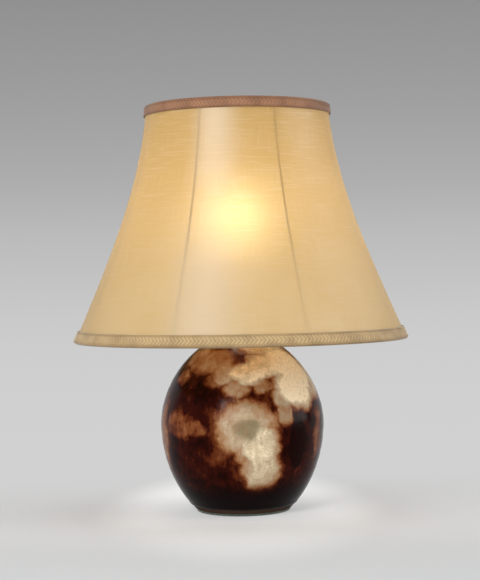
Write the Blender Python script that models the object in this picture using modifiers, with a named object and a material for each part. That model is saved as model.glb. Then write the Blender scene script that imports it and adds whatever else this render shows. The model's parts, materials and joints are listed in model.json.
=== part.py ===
# Table lamp: a round glazed stoneware body with a threaded pipe through it,
# a socket with a turn knob and a bulb, and a bell shade of linen on a wire frame
# that hangs from a harp. Metres, +Z up, origin at the middle of the felt pad's underside.

import math

import bmesh
import bpy
from mathutils import Vector

# Clearance between pieces that touch on the real lamp, and the overrun of every cutter
GAP = 0.0003
OVERRUN = 0.002

# Facets round the body, the shade, and middling and small turned pieces, and how near points are merged
LARGE_STEPS = 40
SHADE_STEPS = 48
MIDDLE_STEPS = 24
SMALL_STEPS = 16
WIRE_SIDES_LEVEL = 1
TURN = 2 * math.pi
MERGE_DISTANCE = 0.00001

# Ceramic body, heights above its foot
BODY_RADIUS = 0.100
BODY_HEIGHT = 0.2095
BODY_WIDEST_HEIGHT = 0.107
BODY_FOOT_RADIUS = 0.0585
BODY_TOP_RADIUS = 0.0275
BODY_WALL = 0.006
FOOT_WALL = 0.010
FOOT_RIM_HEIGHT = 0.006
CAVITY_HEIGHT = 0.010
TOP_HOLE_CLEARANCE = 0.0032
LOWER_ROUNDNESS = 2.0
UPPER_ROUNDNESS = 1.75
BODY_CURVE_POINTS = 8
CAVITY_CURVE_POINTS = 5

# Felt pad under the foot
PAD_INSET = 0.001
PAD_THICKNESS = 0.0025

# Pressed steel pan that closes the foot, seated in a rebate under the foot's rim
PAN_SEAT_WIDTH = 0.005
PAN_SEAT_DEPTH = 0.0022
PAN_HEIGHT = 0.0135
PAN_THICKNESS = 0.0014
PAN_DISH_INSET = 0.009
PAN_SIDE_SLOPE = 0.0015

# Rubber grommet where the lead leaves the back of the body
GROMMET_HEIGHT = 0.016
GROMMET_RADIUS = 0.0043
GROMMET_WALL = 0.0012
GROMMET_FLANGE = 0.0019
GROMMET_FLANGE_THICKNESS = 0.0016

# Threaded lamp pipe and what is screwed on it
PIPE_RADIUS = 0.0048
PIPE_WALL = 0.0015
PIPE_END = 0.0035
NUT_WIDTH = 0.0036
NUT_THICKNESS = 0.0036
WASHER_WIDTH = 0.0085
WASHER_THICKNESS = 0.0018

# Vase cap and turned neck above the body
CAP_INSET = 0.0025
CAP_HEIGHT = 0.012
CAP_RIM_HEIGHT = 0.002
CAP_TOP_WIDTH = 0.0044
CAP_WALL = 0.0012
CAP_CURVE_POINTS = 5
NECK_WALL = 0.003
NECK_BEAD = 0.0027
NECK_HEIGHT = 0.0145
NECK_CURVE_POINTS = 8

# Harp saddle: a plate on the pipe with two upturned posts
SADDLE_PLATE_MARGIN = 0.0051
SADDLE_THICKNESS = 0.0016
WIRE_RADIUS = 0.0019
SADDLE_BEND_RADIUS = 0.006
POST_STANDOFF = 0.0067
POST_HEIGHT = 0.020
COLLAR_WIDTH = 0.0013
COLLAR_HEIGHT = 0.0014
BEND_POINTS = 5

# Ferrules that lock the harp to the saddle's posts
FERRULE_HEIGHT = 0.010
FERRULE_WALL = 0.0013
FERRULE_CLEARANCE = 0.0004
FERRULE_RIM = 0.0006
FERRULE_RIM_HEIGHT = 0.0012

# Harp: one wire bow, measured from the saddle's plate to its top pad
HARP_HEIGHT = 0.229
HARP_STRAIGHT = 0.020
HARP_TO_BULB = 0.027
HARP_WIDEST_SHARE = 0.46
HARP_LOWER_HANDLE_SHARES = (0.42, 0.40)
HARP_UPPER_HANDLE_SHARES = (0.46, 0.72)
HARP_CURVE_POINTS = 9
HARP_PAD_RADIUS = 0.006
HARP_PAD_HEIGHT = 0.005

# Swivelling threaded stud on top of the harp
STUD_SHANK_RADIUS = 0.0018
STUD_SHANK_CLEARANCE = 0.0003
STUD_HEAD_WIDTH = 0.0020
STUD_HEAD_HEIGHT = 0.0016
STUD_SHOULDER_WIDTH = 0.0044
STUD_SHOULDER_HEIGHT = 0.0016
STUD_THREAD_RADIUS = 0.0031
STUD_THREAD_LENGTH = 0.013
STUD_TIP = 0.0006

# Bulb, heights above the tip of its contact
BULB_RADIUS = 0.030
BULB_LENGTH = 0.109
BULB_WALL = 0.0009
BULB_NECK_START = 0.020
BULB_NECK_TOP = 0.030
BULB_TIP_RADIUS = 0.0036
BULB_TIP_HEIGHT = 0.0014
BULB_BASE_START = 0.0060
BULB_BASE_HEIGHT = 0.0195
BULB_BASE_RADIUS = 0.0131
BULB_BASE_WALL = 0.0008
THREAD_DEPTH = 0.0008
THREAD_PITCH = 0.0036
THREAD_TURN_COUNT = 4
THREAD_WAVE_STEPS = 2
BULB_JOIN_ANGLE = math.radians(38)
BULB_DOME_POINTS = 8
BULB_THROAT_POINTS = 5
BULB_STEM_RADIUS = 0.0045
BULB_STEM_LENGTH = 0.028
FILAMENT_WIRE_RADIUS = 0.0004
FILAMENT_SPREAD = 0.012
FILAMENT_HEIGHT = 0.020
FILAMENT_ARCH = 0.005
FILAMENT_POINTS = 7

# Socket, heights above the underside of its cap
SOCKET_WALL = 0.0008
SOCKET_CAP_HEIGHT = 0.021
SOCKET_CAP_NECK_WALL = 0.0022
SOCKET_CAP_NECK_HEIGHT = 0.006
SOCKET_CAP_CURVE_POINTS = 5
SHELL_OVERLAP = 0.005
SHELL_HEIGHT = 0.041
SHELL_LIP = 0.0012
LINER_THICKNESS = 0.0009
LINER_CLEARANCE = 0.0008
LINER_SHORT = 0.0025
INSULATOR_FLANGE_THICKNESS = 0.003
INSULATOR_HEIGHT = 0.020
INSULATOR_DROP = 0.002
CONTACT_RADIUS = 0.0035
CONTACT_HEIGHT = 0.002
SCREW_SHELL_WALL = 0.0005
SCREW_SHELL_LIP = 0.001
SCREW_SHELL_FLOOR_CLEARANCE = 0.0027
TERMINAL_HEAD_RADIUS = 0.0024
TERMINAL_HEAD_HEIGHT = 0.0011
TERMINAL_SHANK_RADIUS = 0.0013
TERMINAL_SHANK_LENGTH = 0.004
TERMINAL_HEIGHT = 0.0085
TERMINAL_ROOM = 0.0005
SET_SCREW_RADIUS = 0.0012
SET_SCREW_HEAD_RADIUS = 0.0020
SET_SCREW_HEAD_HEIGHT = 0.0016

# Rotary switch: a stem out of the insulator and a fluted knob
STEM_RADIUS = 0.0020
STEM_CLEARANCE = 0.0004
STEM_DEPTH = 0.008
STEM_OVER_CAP = 0.0007
KNOB_RADIUS = 0.0062
KNOB_LENGTH = 0.013
KNOB_STANDOFF = 0.004
KNOB_BORE_DEPTH = 0.008
KNOB_FLUTE_COUNT = 12
KNOB_FLUTE_DEPTH = 0.0007
KNOB_EDGE = 0.0008

# Shade, heights above the underside of its spider's hub
SHADE_TOP_RADIUS = 0.112
SHADE_BOTTOM_RADIUS = 0.203
SHADE_HEIGHT = 0.2845
SHADE_RISE = 0.0245
SHADE_FLARE_SHARES = (0.27, 1.15, -0.42)
SKIN_THICKNESS = 0.0010
SKIN_POINTS = 9
RING_WIRE_RADIUS = 0.0018
RING_SIDES = 6
RIB_WIRE_RADIUS = 0.0012
RIB_COUNT = 8
RIB_FIRST_ANGLE = math.radians(22.5)
SPIDER_HUB_RADIUS = 0.0110
SPIDER_HUB_THICKNESS = 0.0016
SPIDER_HOLE_CLEARANCE = 0.0009
SPIDER_ARM_COUNT = 3
SPIDER_FIRST_ANGLE = math.radians(90)
SPIDER_WIRE_RADIUS = 0.0015
SPIDER_BEND_RADIUS = 0.010
TRIM_THICKNESS = 0.0014
TOP_TRIM_HEIGHT = 0.011
BOTTOM_TRIM_HEIGHT = 0.013
TOP_TRIM_INSIDE = 0.0042
BOTTOM_TRIM_INSIDE = 0.0070

# Finial, heights above its seat on the spider's hub
FINIAL_BASE_WIDTH = 0.0035
FINIAL_BASE_HEIGHT = 0.0042
FINIAL_KNOB_RADIUS = 0.0088
FINIAL_KNOB_HEIGHT = 0.0185
FINIAL_BORE_CLEARANCE = 0.0005
FINIAL_BORE_SPARE = 0.002
FINIAL_OUTLINE_SHARES = (
    (0.30, 0.97), (0.62, 0.87), (0.88, 0.70), (1.00, 0.50), (0.90, 0.30), (0.64, 0.15), (0.62, 0.00),
)

# Colours: base colour, roughness, metallic
FINISHES = {
    "glaze": ((0.085, 0.026, 0.014, 1), 0.16, 0.0),
    "linen": ((0.70, 0.50, 0.27, 1), 0.85, 0.0),
    "braid": ((0.40, 0.25, 0.12, 1), 0.80, 0.0),
    "antique_brass": ((0.42, 0.27, 0.11, 1), 0.32, 1.0),
    "frame_wire": ((0.75, 0.68, 0.55, 1), 0.40, 1.0),
    "steel": ((0.55, 0.55, 0.56, 1), 0.35, 1.0),
    "aluminium": ((0.80, 0.80, 0.80, 1), 0.30, 1.0),
    "cardboard": ((0.16, 0.13, 0.10, 1), 0.90, 0.0),
    "phenolic": ((0.03, 0.02, 0.018, 1), 0.45, 0.0),
    "rubber": ((0.02, 0.02, 0.02, 1), 0.70, 0.0),
    "felt": ((0.05, 0.10, 0.06, 1), 1.0, 0.0),
    "bulb_glass": ((0.95, 0.88, 0.72, 1), 0.25, 0.0),
    "solder": ((0.62, 0.62, 0.60, 1), 0.40, 1.0),
    "tungsten": ((0.35, 0.33, 0.30, 1), 0.50, 1.0),
}

# Radii of what fits on the pipe
PIPE_HOLE_RADIUS = PIPE_RADIUS + GAP
NUT_CORNER_RADIUS = PIPE_RADIUS + NUT_WIDTH
CAP_TOP_RADIUS = PIPE_RADIUS + CAP_TOP_WIDTH
NECK_RADIUS = PIPE_RADIUS + NECK_WALL
SOCKET_CAP_NECK_RADIUS = PIPE_RADIUS + SOCKET_CAP_NECK_WALL
SADDLE_PLATE_RADIUS = NUT_CORNER_RADIUS + SADDLE_PLATE_MARGIN

# Radii of the bulb's base and of the socket's nested shells, from the inside out
BULB_BORE_RADIUS = BULB_BASE_RADIUS - THREAD_DEPTH - BULB_BASE_WALL
BULB_NECK_RADIUS = BULB_BORE_RADIUS - GAP
SCREW_SHELL_BORE_RADIUS = BULB_BASE_RADIUS + GAP
LINER_BORE_RADIUS = SCREW_SHELL_BORE_RADIUS + SCREW_SHELL_WALL + LINER_CLEARANCE
LINER_RADIUS = LINER_BORE_RADIUS + LINER_THICKNESS
SHELL_RADIUS = LINER_RADIUS + GAP + SOCKET_WALL
SOCKET_RADIUS = SHELL_RADIUS + GAP + SOCKET_WALL
INSULATOR_RADIUS = LINER_BORE_RADIUS - TERMINAL_ROOM - TERMINAL_HEAD_HEIGHT - GAP

# Heights of the stack, each piece on the one below it
BODY_Z = PAD_THICKNESS + GAP
CAP_Z = BODY_Z + BODY_HEIGHT + GAP
NECK_Z = CAP_Z + CAP_HEIGHT + GAP
SADDLE_Z = NECK_Z + NECK_HEIGHT + GAP
SADDLE_NUT_Z = SADDLE_Z + SADDLE_THICKNESS + GAP
SOCKET_Z = SADDLE_NUT_Z + NUT_THICKNESS + GAP
PAN_Z = BODY_Z + PAN_SEAT_DEPTH - GAP - PAN_THICKNESS
WASHER_Z = BODY_Z + PAN_HEIGHT - PAN_THICKNESS - GAP - WASHER_THICKNESS
BOTTOM_NUT_Z = WASHER_Z - GAP - NUT_THICKNESS
PIPE_BOTTOM_Z = BOTTOM_NUT_Z - PIPE_END
PIPE_TOP_Z = SOCKET_Z + SOCKET_CAP_NECK_HEIGHT
SHELL_Z = SOCKET_Z + SOCKET_CAP_HEIGHT - SHELL_OVERLAP
STEM_Z = SOCKET_Z + SOCKET_CAP_HEIGHT + STEM_OVER_CAP + STEM_RADIUS + 2 * STEM_CLEARANCE
INSULATOR_Z = SHELL_Z - INSULATOR_DROP
INSULATOR_TOP_Z = INSULATOR_Z + INSULATOR_HEIGHT
SCREW_SHELL_Z = INSULATOR_TOP_Z + GAP
BULB_Z = INSULATOR_TOP_Z + GAP + CONTACT_HEIGHT + GAP
POST_X = SOCKET_RADIUS + POST_STANDOFF
POST_TOP_Z = SADDLE_Z + POST_HEIGHT
FERRULE_Z = POST_TOP_Z - FERRULE_HEIGHT / 2
COLLAR_Z = FERRULE_Z - GAP - COLLAR_HEIGHT
HARP_FOOT_Z = POST_TOP_Z + GAP
HARP_TOP_Z = SADDLE_Z + HARP_HEIGHT - HARP_PAD_HEIGHT / 2
HARP_HALF_WIDTH = BULB_RADIUS + HARP_TO_BULB
STUD_Z = HARP_TOP_Z + HARP_PAD_HEIGHT / 2 + GAP
SHADE_Z = STUD_Z + STUD_SHOULDER_HEIGHT + GAP
FINIAL_Z = SHADE_Z + SPIDER_HUB_THICKNESS + GAP
FINIAL_KNOB_Z = FINIAL_Z + FINIAL_BASE_HEIGHT + GAP
THREAD_TOP_Z = STUD_Z + STUD_SHOULDER_HEIGHT + STUD_THREAD_LENGTH


def reach_of(rise, end_radius, roundness):
    """Height from the body's widest ring at which its outline would close."""
    return rise / (1 - (end_radius / BODY_RADIUS) ** 2) ** (1 / roundness)


LOWER_REACH = reach_of(BODY_WIDEST_HEIGHT, BODY_FOOT_RADIUS, LOWER_ROUNDNESS)
UPPER_REACH = reach_of(BODY_HEIGHT - BODY_WIDEST_HEIGHT, BODY_TOP_RADIUS, UPPER_ROUNDNESS)


def clear_scene():
    for obj in list(bpy.data.objects):
        bpy.data.objects.remove(obj, do_unlink=True)


def new_collection(name):
    collection = bpy.data.collections.new(name)
    bpy.context.scene.collection.children.link(collection)
    return collection


def make_finishes():
    made = {}
    for name, (colour, roughness, metallic) in FINISHES.items():
        material = bpy.data.materials.new(name)
        material.use_nodes = True
        shader = material.node_tree.nodes["Principled BSDF"]
        shader.inputs["Base Color"].default_value = colour
        shader.inputs["Roughness"].default_value = roughness
        shader.inputs["Metallic"].default_value = metallic
        made[name] = material
    return made


clear_scene()
LAMP = new_collection("table_lamp")
CUTTERS = new_collection("cutters")
FINISH = make_finishes()


def axis_empty(name, height, parent=None, x=0.0):
    """An empty on a joint's axis or at an assembly's seat."""
    empty = bpy.data.objects.new(name, None)
    LAMP.objects.link(empty)
    empty.location = (x, 0, height)
    if parent is not None:
        empty.parent = parent
        empty.location = Vector((x, 0, height)) - parent.matrix_world.translation
    bpy.context.view_layer.update()
    return empty


def place(obj, finish, parent, height=None):
    """Puts a finished object in the lamp, at its world height, under its parent."""
    if finish is not None:
        obj.data.materials.clear()
        obj.data.materials.append(FINISH[finish])
    if height is not None:
        obj.location.z = height
    if parent is not None:
        obj.parent = parent
        obj.location = obj.location - parent.matrix_world.translation
    bpy.context.view_layer.update()
    return obj


def linked(name, mesh, collection=None):
    obj = bpy.data.objects.new(name, mesh)
    (collection or LAMP).objects.link(obj)
    return obj


def turned(name, outline, steps, closed=True, collection=None):
    """A turned shape from (radius, height) points that run down its outer side."""
    count = len(outline)
    edges = [(i, i + 1) for i in range(count - 1)]
    if closed:
        edges.append((count - 1, 0))
    mesh = bpy.data.meshes.new(name)
    mesh.from_pydata([(radius, 0, height) for radius, height in outline], edges, [])
    obj = linked(name, mesh, collection)
    screw = obj.modifiers.new("turn", "SCREW")
    screw.axis = "Z"
    screw.angle = TURN
    screw.steps = steps
    screw.render_steps = steps
    screw.use_merge_vertices = True
    screw.merge_threshold = MERGE_DISTANCE
    screw.use_smooth_shade = True
    return obj


def ring_outline(outer, inner, bottom, top):
    return [(outer, top), (outer, bottom), (inner, bottom), (inner, top)]


def cylinder_mesh(name, radius, depth, steps, collection=None):
    """A closed cylinder that stands on its origin."""
    mesh = bpy.data.meshes.new(name)
    shape = bmesh.new()
    bmesh.ops.create_cone(
        shape, cap_ends=True, segments=steps, radius1=radius, radius2=radius, depth=depth
    )
    bmesh.ops.translate(shape, verts=shape.verts, vec=(0, 0, depth / 2))
    shape.to_mesh(mesh)
    shape.free()
    return linked(name, mesh, collection)


def cutter(name, radius, depth, steps):
    obj = cylinder_mesh(name, radius, depth, steps, CUTTERS)
    obj.hide_render = True
    obj.display_type = "WIRE"
    return obj


def aim(obj, direction, origin):
    """Turns an object's own +Z to a direction, with its origin at a point."""
    obj.rotation_mode = "QUATERNION"
    obj.rotation_quaternion = Vector(direction).to_track_quat("Z", "Y")
    obj.location = origin
    bpy.context.view_layer.update()
    return obj


def boolean(obj, other, operation):
    modifier = obj.modifiers.new(operation.lower(), "BOOLEAN")
    modifier.operation = operation
    modifier.object = other
    modifier.solver = "EXACT"
    return modifier


def joined(obj, others):
    """The union of an object with others, as one mesh. The others are removed."""
    for other in others:
        boolean(obj, other, "UNION")
    bpy.context.view_layer.update()
    graph = bpy.context.evaluated_depsgraph_get()
    mesh = bpy.data.meshes.new_from_object(obj.evaluated_get(graph))
    obj.modifiers.clear()
    obj.data = mesh
    for other in others:
        bpy.data.objects.remove(other, do_unlink=True)
    return obj


def tube(name, points, radius, level=WIRE_SIDES_LEVEL):
    """A wire along a line of points, as a curve with filled ends."""
    curve = bpy.data.curves.new(name, "CURVE")
    curve.dimensions = "3D"
    curve.bevel_depth = radius
    curve.bevel_resolution = level
    curve.use_fill_caps = True
    spline = curve.splines.new("POLY")
    spline.points.add(len(points) - 1)
    for target, point in zip(spline.points, points):
        target.co = (*point, 1)
    return linked(name, curve)


def tube_mesh(name, points, radius, level=WIRE_SIDES_LEVEL):
    """The same wire as a closed mesh, for a Boolean."""
    wire = tube(name + "_line", points, radius, level)
    bpy.context.view_layer.update()
    graph = bpy.context.evaluated_depsgraph_get()
    mesh = bpy.data.meshes.new_from_object(wire.evaluated_get(graph))
    shape = bmesh.new()
    shape.from_mesh(mesh)
    bmesh.ops.remove_doubles(shape, verts=shape.verts, dist=MERGE_DISTANCE)
    shape.to_mesh(mesh)
    shape.free()
    obj = linked(name, mesh)
    obj.matrix_world = wire.matrix_world
    bpy.data.objects.remove(wire, do_unlink=True)
    return obj


def shares_of(count):
    """Evenly spaced shares from 0 to 1, ends included."""
    return [i / (count - 1) for i in range(count)]


def bezier(start, first, second, end, count):
    points = []
    for t in shares_of(count):
        u = 1 - t
        points.append(
            start * u**3 + first * (3 * u * u * t) + second * (3 * u * t * t) + end * t**3
        )
    return points


def body_radius_at(height):
    """Outer radius of the lower part of the body, at a height above its foot."""
    return BODY_RADIUS * math.sqrt(1 - ((BODY_WIDEST_HEIGHT - height) / LOWER_REACH) ** LOWER_ROUNDNESS)


def arc_of_body(inset, low, high, count):
    """Points of the body's outline, or of a line inside it, from high down to low."""
    radius = BODY_RADIUS - inset
    upper = UPPER_REACH - inset
    lower = LOWER_REACH - inset
    points = []
    first = math.asin(((high - BODY_WIDEST_HEIGHT) / upper) ** (UPPER_ROUNDNESS / 2))
    for t in shares_of(count)[:-1]:
        angle = first * (1 - t)
        rise = upper * math.sin(angle) ** (2 / UPPER_ROUNDNESS)
        points.append((radius * math.cos(angle), BODY_WIDEST_HEIGHT + rise))
    last = math.asin(((BODY_WIDEST_HEIGHT - low) / lower) ** (LOWER_ROUNDNESS / 2))
    for t in shares_of(count):
        angle = last * t
        fall = lower * math.sin(angle) ** (2 / LOWER_ROUNDNESS)
        points.append((radius * math.cos(angle), BODY_WIDEST_HEIGHT - fall))
    return points


def build_felt_pad(parent):
    pad = cylinder_mesh("felt_pad", BODY_FOOT_RADIUS - PAD_INSET, PAD_THICKNESS, LARGE_STEPS)
    place(pad, "felt", parent, 0.0)


def grommet_seat():
    """Where the grommet sits on the back of the body, and the way it faces."""
    angle = math.asin((GROMMET_HEIGHT - BODY_WIDEST_HEIGHT) / LOWER_REACH)
    outward = Vector((0, LOWER_REACH * math.cos(angle), BODY_RADIUS * math.sin(angle))).normalized()
    point = Vector((0, body_radius_at(GROMMET_HEIGHT), BODY_Z + GROMMET_HEIGHT))
    return point, outward


def build_ceramic_body(parent):
    inner_top = BODY_HEIGHT - BODY_WALL
    rim = BODY_FOOT_RADIUS - FOOT_WALL
    seat = rim + PAN_SEAT_WIDTH
    top_hole = PIPE_RADIUS + TOP_HOLE_CLEARANCE
    outline = [(top_hole, BODY_HEIGHT)]
    outline += arc_of_body(0, 0, BODY_HEIGHT, BODY_CURVE_POINTS)
    outline += [(seat, 0), (seat, PAN_SEAT_DEPTH), (rim, PAN_SEAT_DEPTH), (rim, FOOT_RIM_HEIGHT)]
    outline += reversed(arc_of_body(BODY_WALL, CAVITY_HEIGHT, inner_top, CAVITY_CURVE_POINTS))
    outline += [(top_hole, inner_top)]
    body = turned("ceramic_body", outline, LARGE_STEPS)
    place(body, "glaze", parent, BODY_Z)
    point, outward = grommet_seat()
    hole = cutter("lead_hole_cutter", GROMMET_RADIUS + GAP, BODY_WALL + 2 * OVERRUN, SMALL_STEPS)
    aim(hole, outward, point - outward * (BODY_WALL + OVERRUN))
    boolean(body, hole, "DIFFERENCE")


def build_grommet(parent):
    point, outward = grommet_seat()
    flange = GROMMET_RADIUS + GROMMET_FLANGE
    bore = GROMMET_RADIUS - GROMMET_WALL
    outline = [
        (flange, GROMMET_FLANGE_THICKNESS + GAP),
        (flange, GAP),
        (GROMMET_RADIUS, GAP),
        (GROMMET_RADIUS, -BODY_WALL),
        (bore, -BODY_WALL),
        (bore, GROMMET_FLANGE_THICKNESS + GAP),
    ]
    grommet = turned("cord_grommet", outline, SMALL_STEPS)
    aim(grommet, outward, point)
    place(grommet, "rubber", parent)


def build_nut(name, parent, height):
    nut = cylinder_mesh(name, NUT_CORNER_RADIUS, NUT_THICKNESS, 6)
    bore = cutter(name + "_bore_cutter", PIPE_HOLE_RADIUS, NUT_THICKNESS + 2 * OVERRUN, SMALL_STEPS)
    bore.location.z = height - OVERRUN
    place(nut, "steel", parent, height)
    boolean(nut, bore, "DIFFERENCE")


def build_pan(parent):
    """A flange in the foot's rebate, a side that rises into the body and a plate for the pipe."""
    rim = BODY_FOOT_RADIUS - FOOT_WALL
    flange = rim + PAN_SEAT_WIDTH - GAP
    foot = rim - PAN_DISH_INSET
    shoulder = foot - PAN_SIDE_SLOPE
    top = BODY_Z + PAN_HEIGHT - PAN_Z
    outline = [
        (PIPE_HOLE_RADIUS, top),
        (shoulder, top),
        (foot, PAN_THICKNESS),
        (flange, PAN_THICKNESS),
        (flange, 0),
        (foot - PAN_THICKNESS, 0),
        (shoulder - PAN_THICKNESS, top - PAN_THICKNESS),
        (PIPE_HOLE_RADIUS, top - PAN_THICKNESS),
    ]
    pan = turned("foot_pan", outline, LARGE_STEPS)
    place(pan, "steel", parent, PAN_Z)
    hole = cutter("pan_lead_cutter", GROMMET_RADIUS, PAN_DISH_INSET + 2 * OVERRUN, SMALL_STEPS)
    aim(hole, (0, 1, 0), (0, shoulder - PAN_THICKNESS - OVERRUN, PAN_Z + top / 2))
    boolean(pan, hole, "DIFFERENCE")


def build_pipe_and_bottom(parent):
    pipe = turned(
        "lamp_pipe",
        ring_outline(PIPE_RADIUS, PIPE_RADIUS - PIPE_WALL, 0, PIPE_TOP_Z - PIPE_BOTTOM_Z),
        SMALL_STEPS,
    )
    place(pipe, "steel", parent, PIPE_BOTTOM_Z)
    washer = turned(
        "bottom_washer",
        ring_outline(PIPE_HOLE_RADIUS + WASHER_WIDTH, PIPE_HOLE_RADIUS, 0, WASHER_THICKNESS),
        MIDDLE_STEPS,
    )
    place(washer, "steel", parent, WASHER_Z)
    build_nut("bottom_nut", parent, BOTTOM_NUT_Z)


def dome(base_radius, top_radius, bottom, top, count):
    """A rounded outline from its top edge down to its rim."""
    points = []
    for t in shares_of(count):
        angle = t * math.pi / 2
        points.append(
            (
                top_radius + (base_radius - top_radius) * math.sin(angle),
                bottom + (top - bottom) * math.cos(angle),
            )
        )
    return points


def build_vase_cap(parent):
    rim = BODY_TOP_RADIUS - CAP_INSET
    outline = [(PIPE_HOLE_RADIUS, CAP_HEIGHT)]
    outline += dome(rim, CAP_TOP_RADIUS, CAP_RIM_HEIGHT, CAP_HEIGHT, CAP_CURVE_POINTS)
    outline += [(rim, 0), (rim - CAP_WALL, 0)]
    inside = dome(
        rim - CAP_WALL, CAP_TOP_RADIUS - CAP_WALL, CAP_RIM_HEIGHT, CAP_HEIGHT - CAP_WALL, CAP_CURVE_POINTS
    )
    outline += reversed(inside)
    outline += [(PIPE_HOLE_RADIUS, CAP_HEIGHT - CAP_WALL)]
    cap = turned("vase_cap", outline, MIDDLE_STEPS)
    place(cap, "antique_brass", parent, CAP_Z)


def build_neck(parent):
    outline = []
    for t in shares_of(NECK_CURVE_POINTS):
        swell = math.sin(math.pi * t) ** 2
        outline.append((NECK_RADIUS + NECK_BEAD * swell, NECK_HEIGHT * (1 - t)))
    outline += [(PIPE_HOLE_RADIUS, 0), (PIPE_HOLE_RADIUS, NECK_HEIGHT)]
    neck = turned("neck_spacer", outline, MIDDLE_STEPS)
    place(neck, "antique_brass", parent, NECK_Z)


def saddle_arm(side):
    """The bent wire of one saddle arm, from the plate to the top of its post."""
    level = SADDLE_THICKNESS / 2
    out = Vector((side, 0, 0))
    up = Vector((0, 0, 1))
    centre = out * (POST_X - SADDLE_BEND_RADIUS) + up * (level + SADDLE_BEND_RADIUS)
    points = [out * (SADDLE_PLATE_RADIUS - WIRE_RADIUS) + up * level]
    for t in shares_of(BEND_POINTS):
        angle = t * math.pi / 2
        points.append(
            centre + SADDLE_BEND_RADIUS * (out * math.sin(angle) - up * math.cos(angle))
        )
    points.append(out * POST_X + up * POST_HEIGHT)
    return points


def build_saddle(parent):
    plate = turned(
        "harp_saddle",
        ring_outline(SADDLE_PLATE_RADIUS, PIPE_HOLE_RADIUS, 0, SADDLE_THICKNESS),
        MIDDLE_STEPS,
    )
    added = []
    for side, label in ((-1, "left"), (1, "right")):
        added.append(tube_mesh("saddle_arm_" + label, saddle_arm(side), WIRE_RADIUS))
        collar = cylinder_mesh(
            "saddle_collar_" + label, WIRE_RADIUS + COLLAR_WIDTH, COLLAR_HEIGHT, SMALL_STEPS
        )
        collar.location = (side * POST_X, 0, COLLAR_Z - SADDLE_Z)
        added.append(collar)
    joined(plate, added)
    place(plate, "antique_brass", parent, SADDLE_Z)
    build_nut("saddle_nut", parent, SADDLE_NUT_Z)


def build_ferrule(name, side, parent):
    bore = WIRE_RADIUS + FERRULE_CLEARANCE
    outer = bore + FERRULE_WALL
    outline = [
        (outer, FERRULE_HEIGHT),
        (outer, FERRULE_RIM_HEIGHT),
        (outer + FERRULE_RIM, FERRULE_RIM_HEIGHT),
        (outer + FERRULE_RIM, 0),
        (bore, 0),
        (bore, FERRULE_HEIGHT),
    ]
    ferrule = turned(name, outline, SMALL_STEPS)
    ferrule.location.x = side * POST_X
    place(ferrule, "antique_brass", parent, FERRULE_Z)


def harp_half():
    """The right half of the harp's bow, from its foot to its middle."""
    up = Vector((0, 0, 1))
    out = Vector((1, 0, 0))
    foot = out * POST_X + up * HARP_FOOT_Z
    straight = foot + up * HARP_STRAIGHT
    rise = HARP_TOP_Z - straight.z
    widest = out * HARP_HALF_WIDTH + up * (straight.z + rise * HARP_WIDEST_SHARE)
    middle = up * HARP_TOP_Z
    below = widest.z - straight.z
    above = middle.z - widest.z
    low_first, low_second = HARP_LOWER_HANDLE_SHARES
    high_first, high_second = HARP_UPPER_HANDLE_SHARES
    lower = bezier(
        straight, straight + up * below * low_first, widest - up * below * low_second, widest,
        HARP_CURVE_POINTS,
    )
    upper = bezier(
        widest, widest + up * above * high_first, middle + out * HARP_HALF_WIDTH * high_second, middle,
        HARP_CURVE_POINTS,
    )
    return [foot] + lower + upper[1:]


def build_harp(parent):
    right = harp_half()
    left = [Vector((-point.x, point.y, point.z)) for point in right[:-1]]
    wire = tube_mesh("harp_wire", right + list(reversed(left)), WIRE_RADIUS)
    pad = cylinder_mesh("harp_pad", HARP_PAD_RADIUS, HARP_PAD_HEIGHT, SMALL_STEPS)
    pad.location.z = HARP_TOP_Z - HARP_PAD_HEIGHT / 2
    joined(wire, [pad])
    hole = cutter(
        "stud_hole_cutter",
        STUD_SHANK_RADIUS + STUD_SHANK_CLEARANCE,
        HARP_PAD_HEIGHT + 2 * OVERRUN,
        SMALL_STEPS,
    )
    hole.location.z = HARP_TOP_Z - HARP_PAD_HEIGHT / 2 - OVERRUN
    place(wire, "antique_brass", parent)
    boolean(wire, hole, "DIFFERENCE")


def build_stud(parent):
    shank_bottom = -(HARP_PAD_HEIGHT + 2 * GAP)
    head_bottom = shank_bottom - STUD_HEAD_HEIGHT
    thread_top = STUD_SHOULDER_HEIGHT + STUD_THREAD_LENGTH
    shoulder = STUD_THREAD_RADIUS + STUD_SHOULDER_WIDTH
    head = STUD_SHANK_RADIUS + STUD_HEAD_WIDTH
    outline = [
        (0, thread_top),
        (STUD_THREAD_RADIUS - STUD_TIP, thread_top),
        (STUD_THREAD_RADIUS, thread_top - STUD_TIP),
        (STUD_THREAD_RADIUS, STUD_SHOULDER_HEIGHT),
        (shoulder, STUD_SHOULDER_HEIGHT),
        (shoulder, 0),
        (STUD_SHANK_RADIUS, 0),
        (STUD_SHANK_RADIUS, shank_bottom),
        (head, shank_bottom),
        (head, head_bottom),
        (0, head_bottom),
    ]
    stud = turned("harp_stud", outline, SMALL_STEPS, closed=False)
    place(stud, "antique_brass", parent, STUD_Z)


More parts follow.
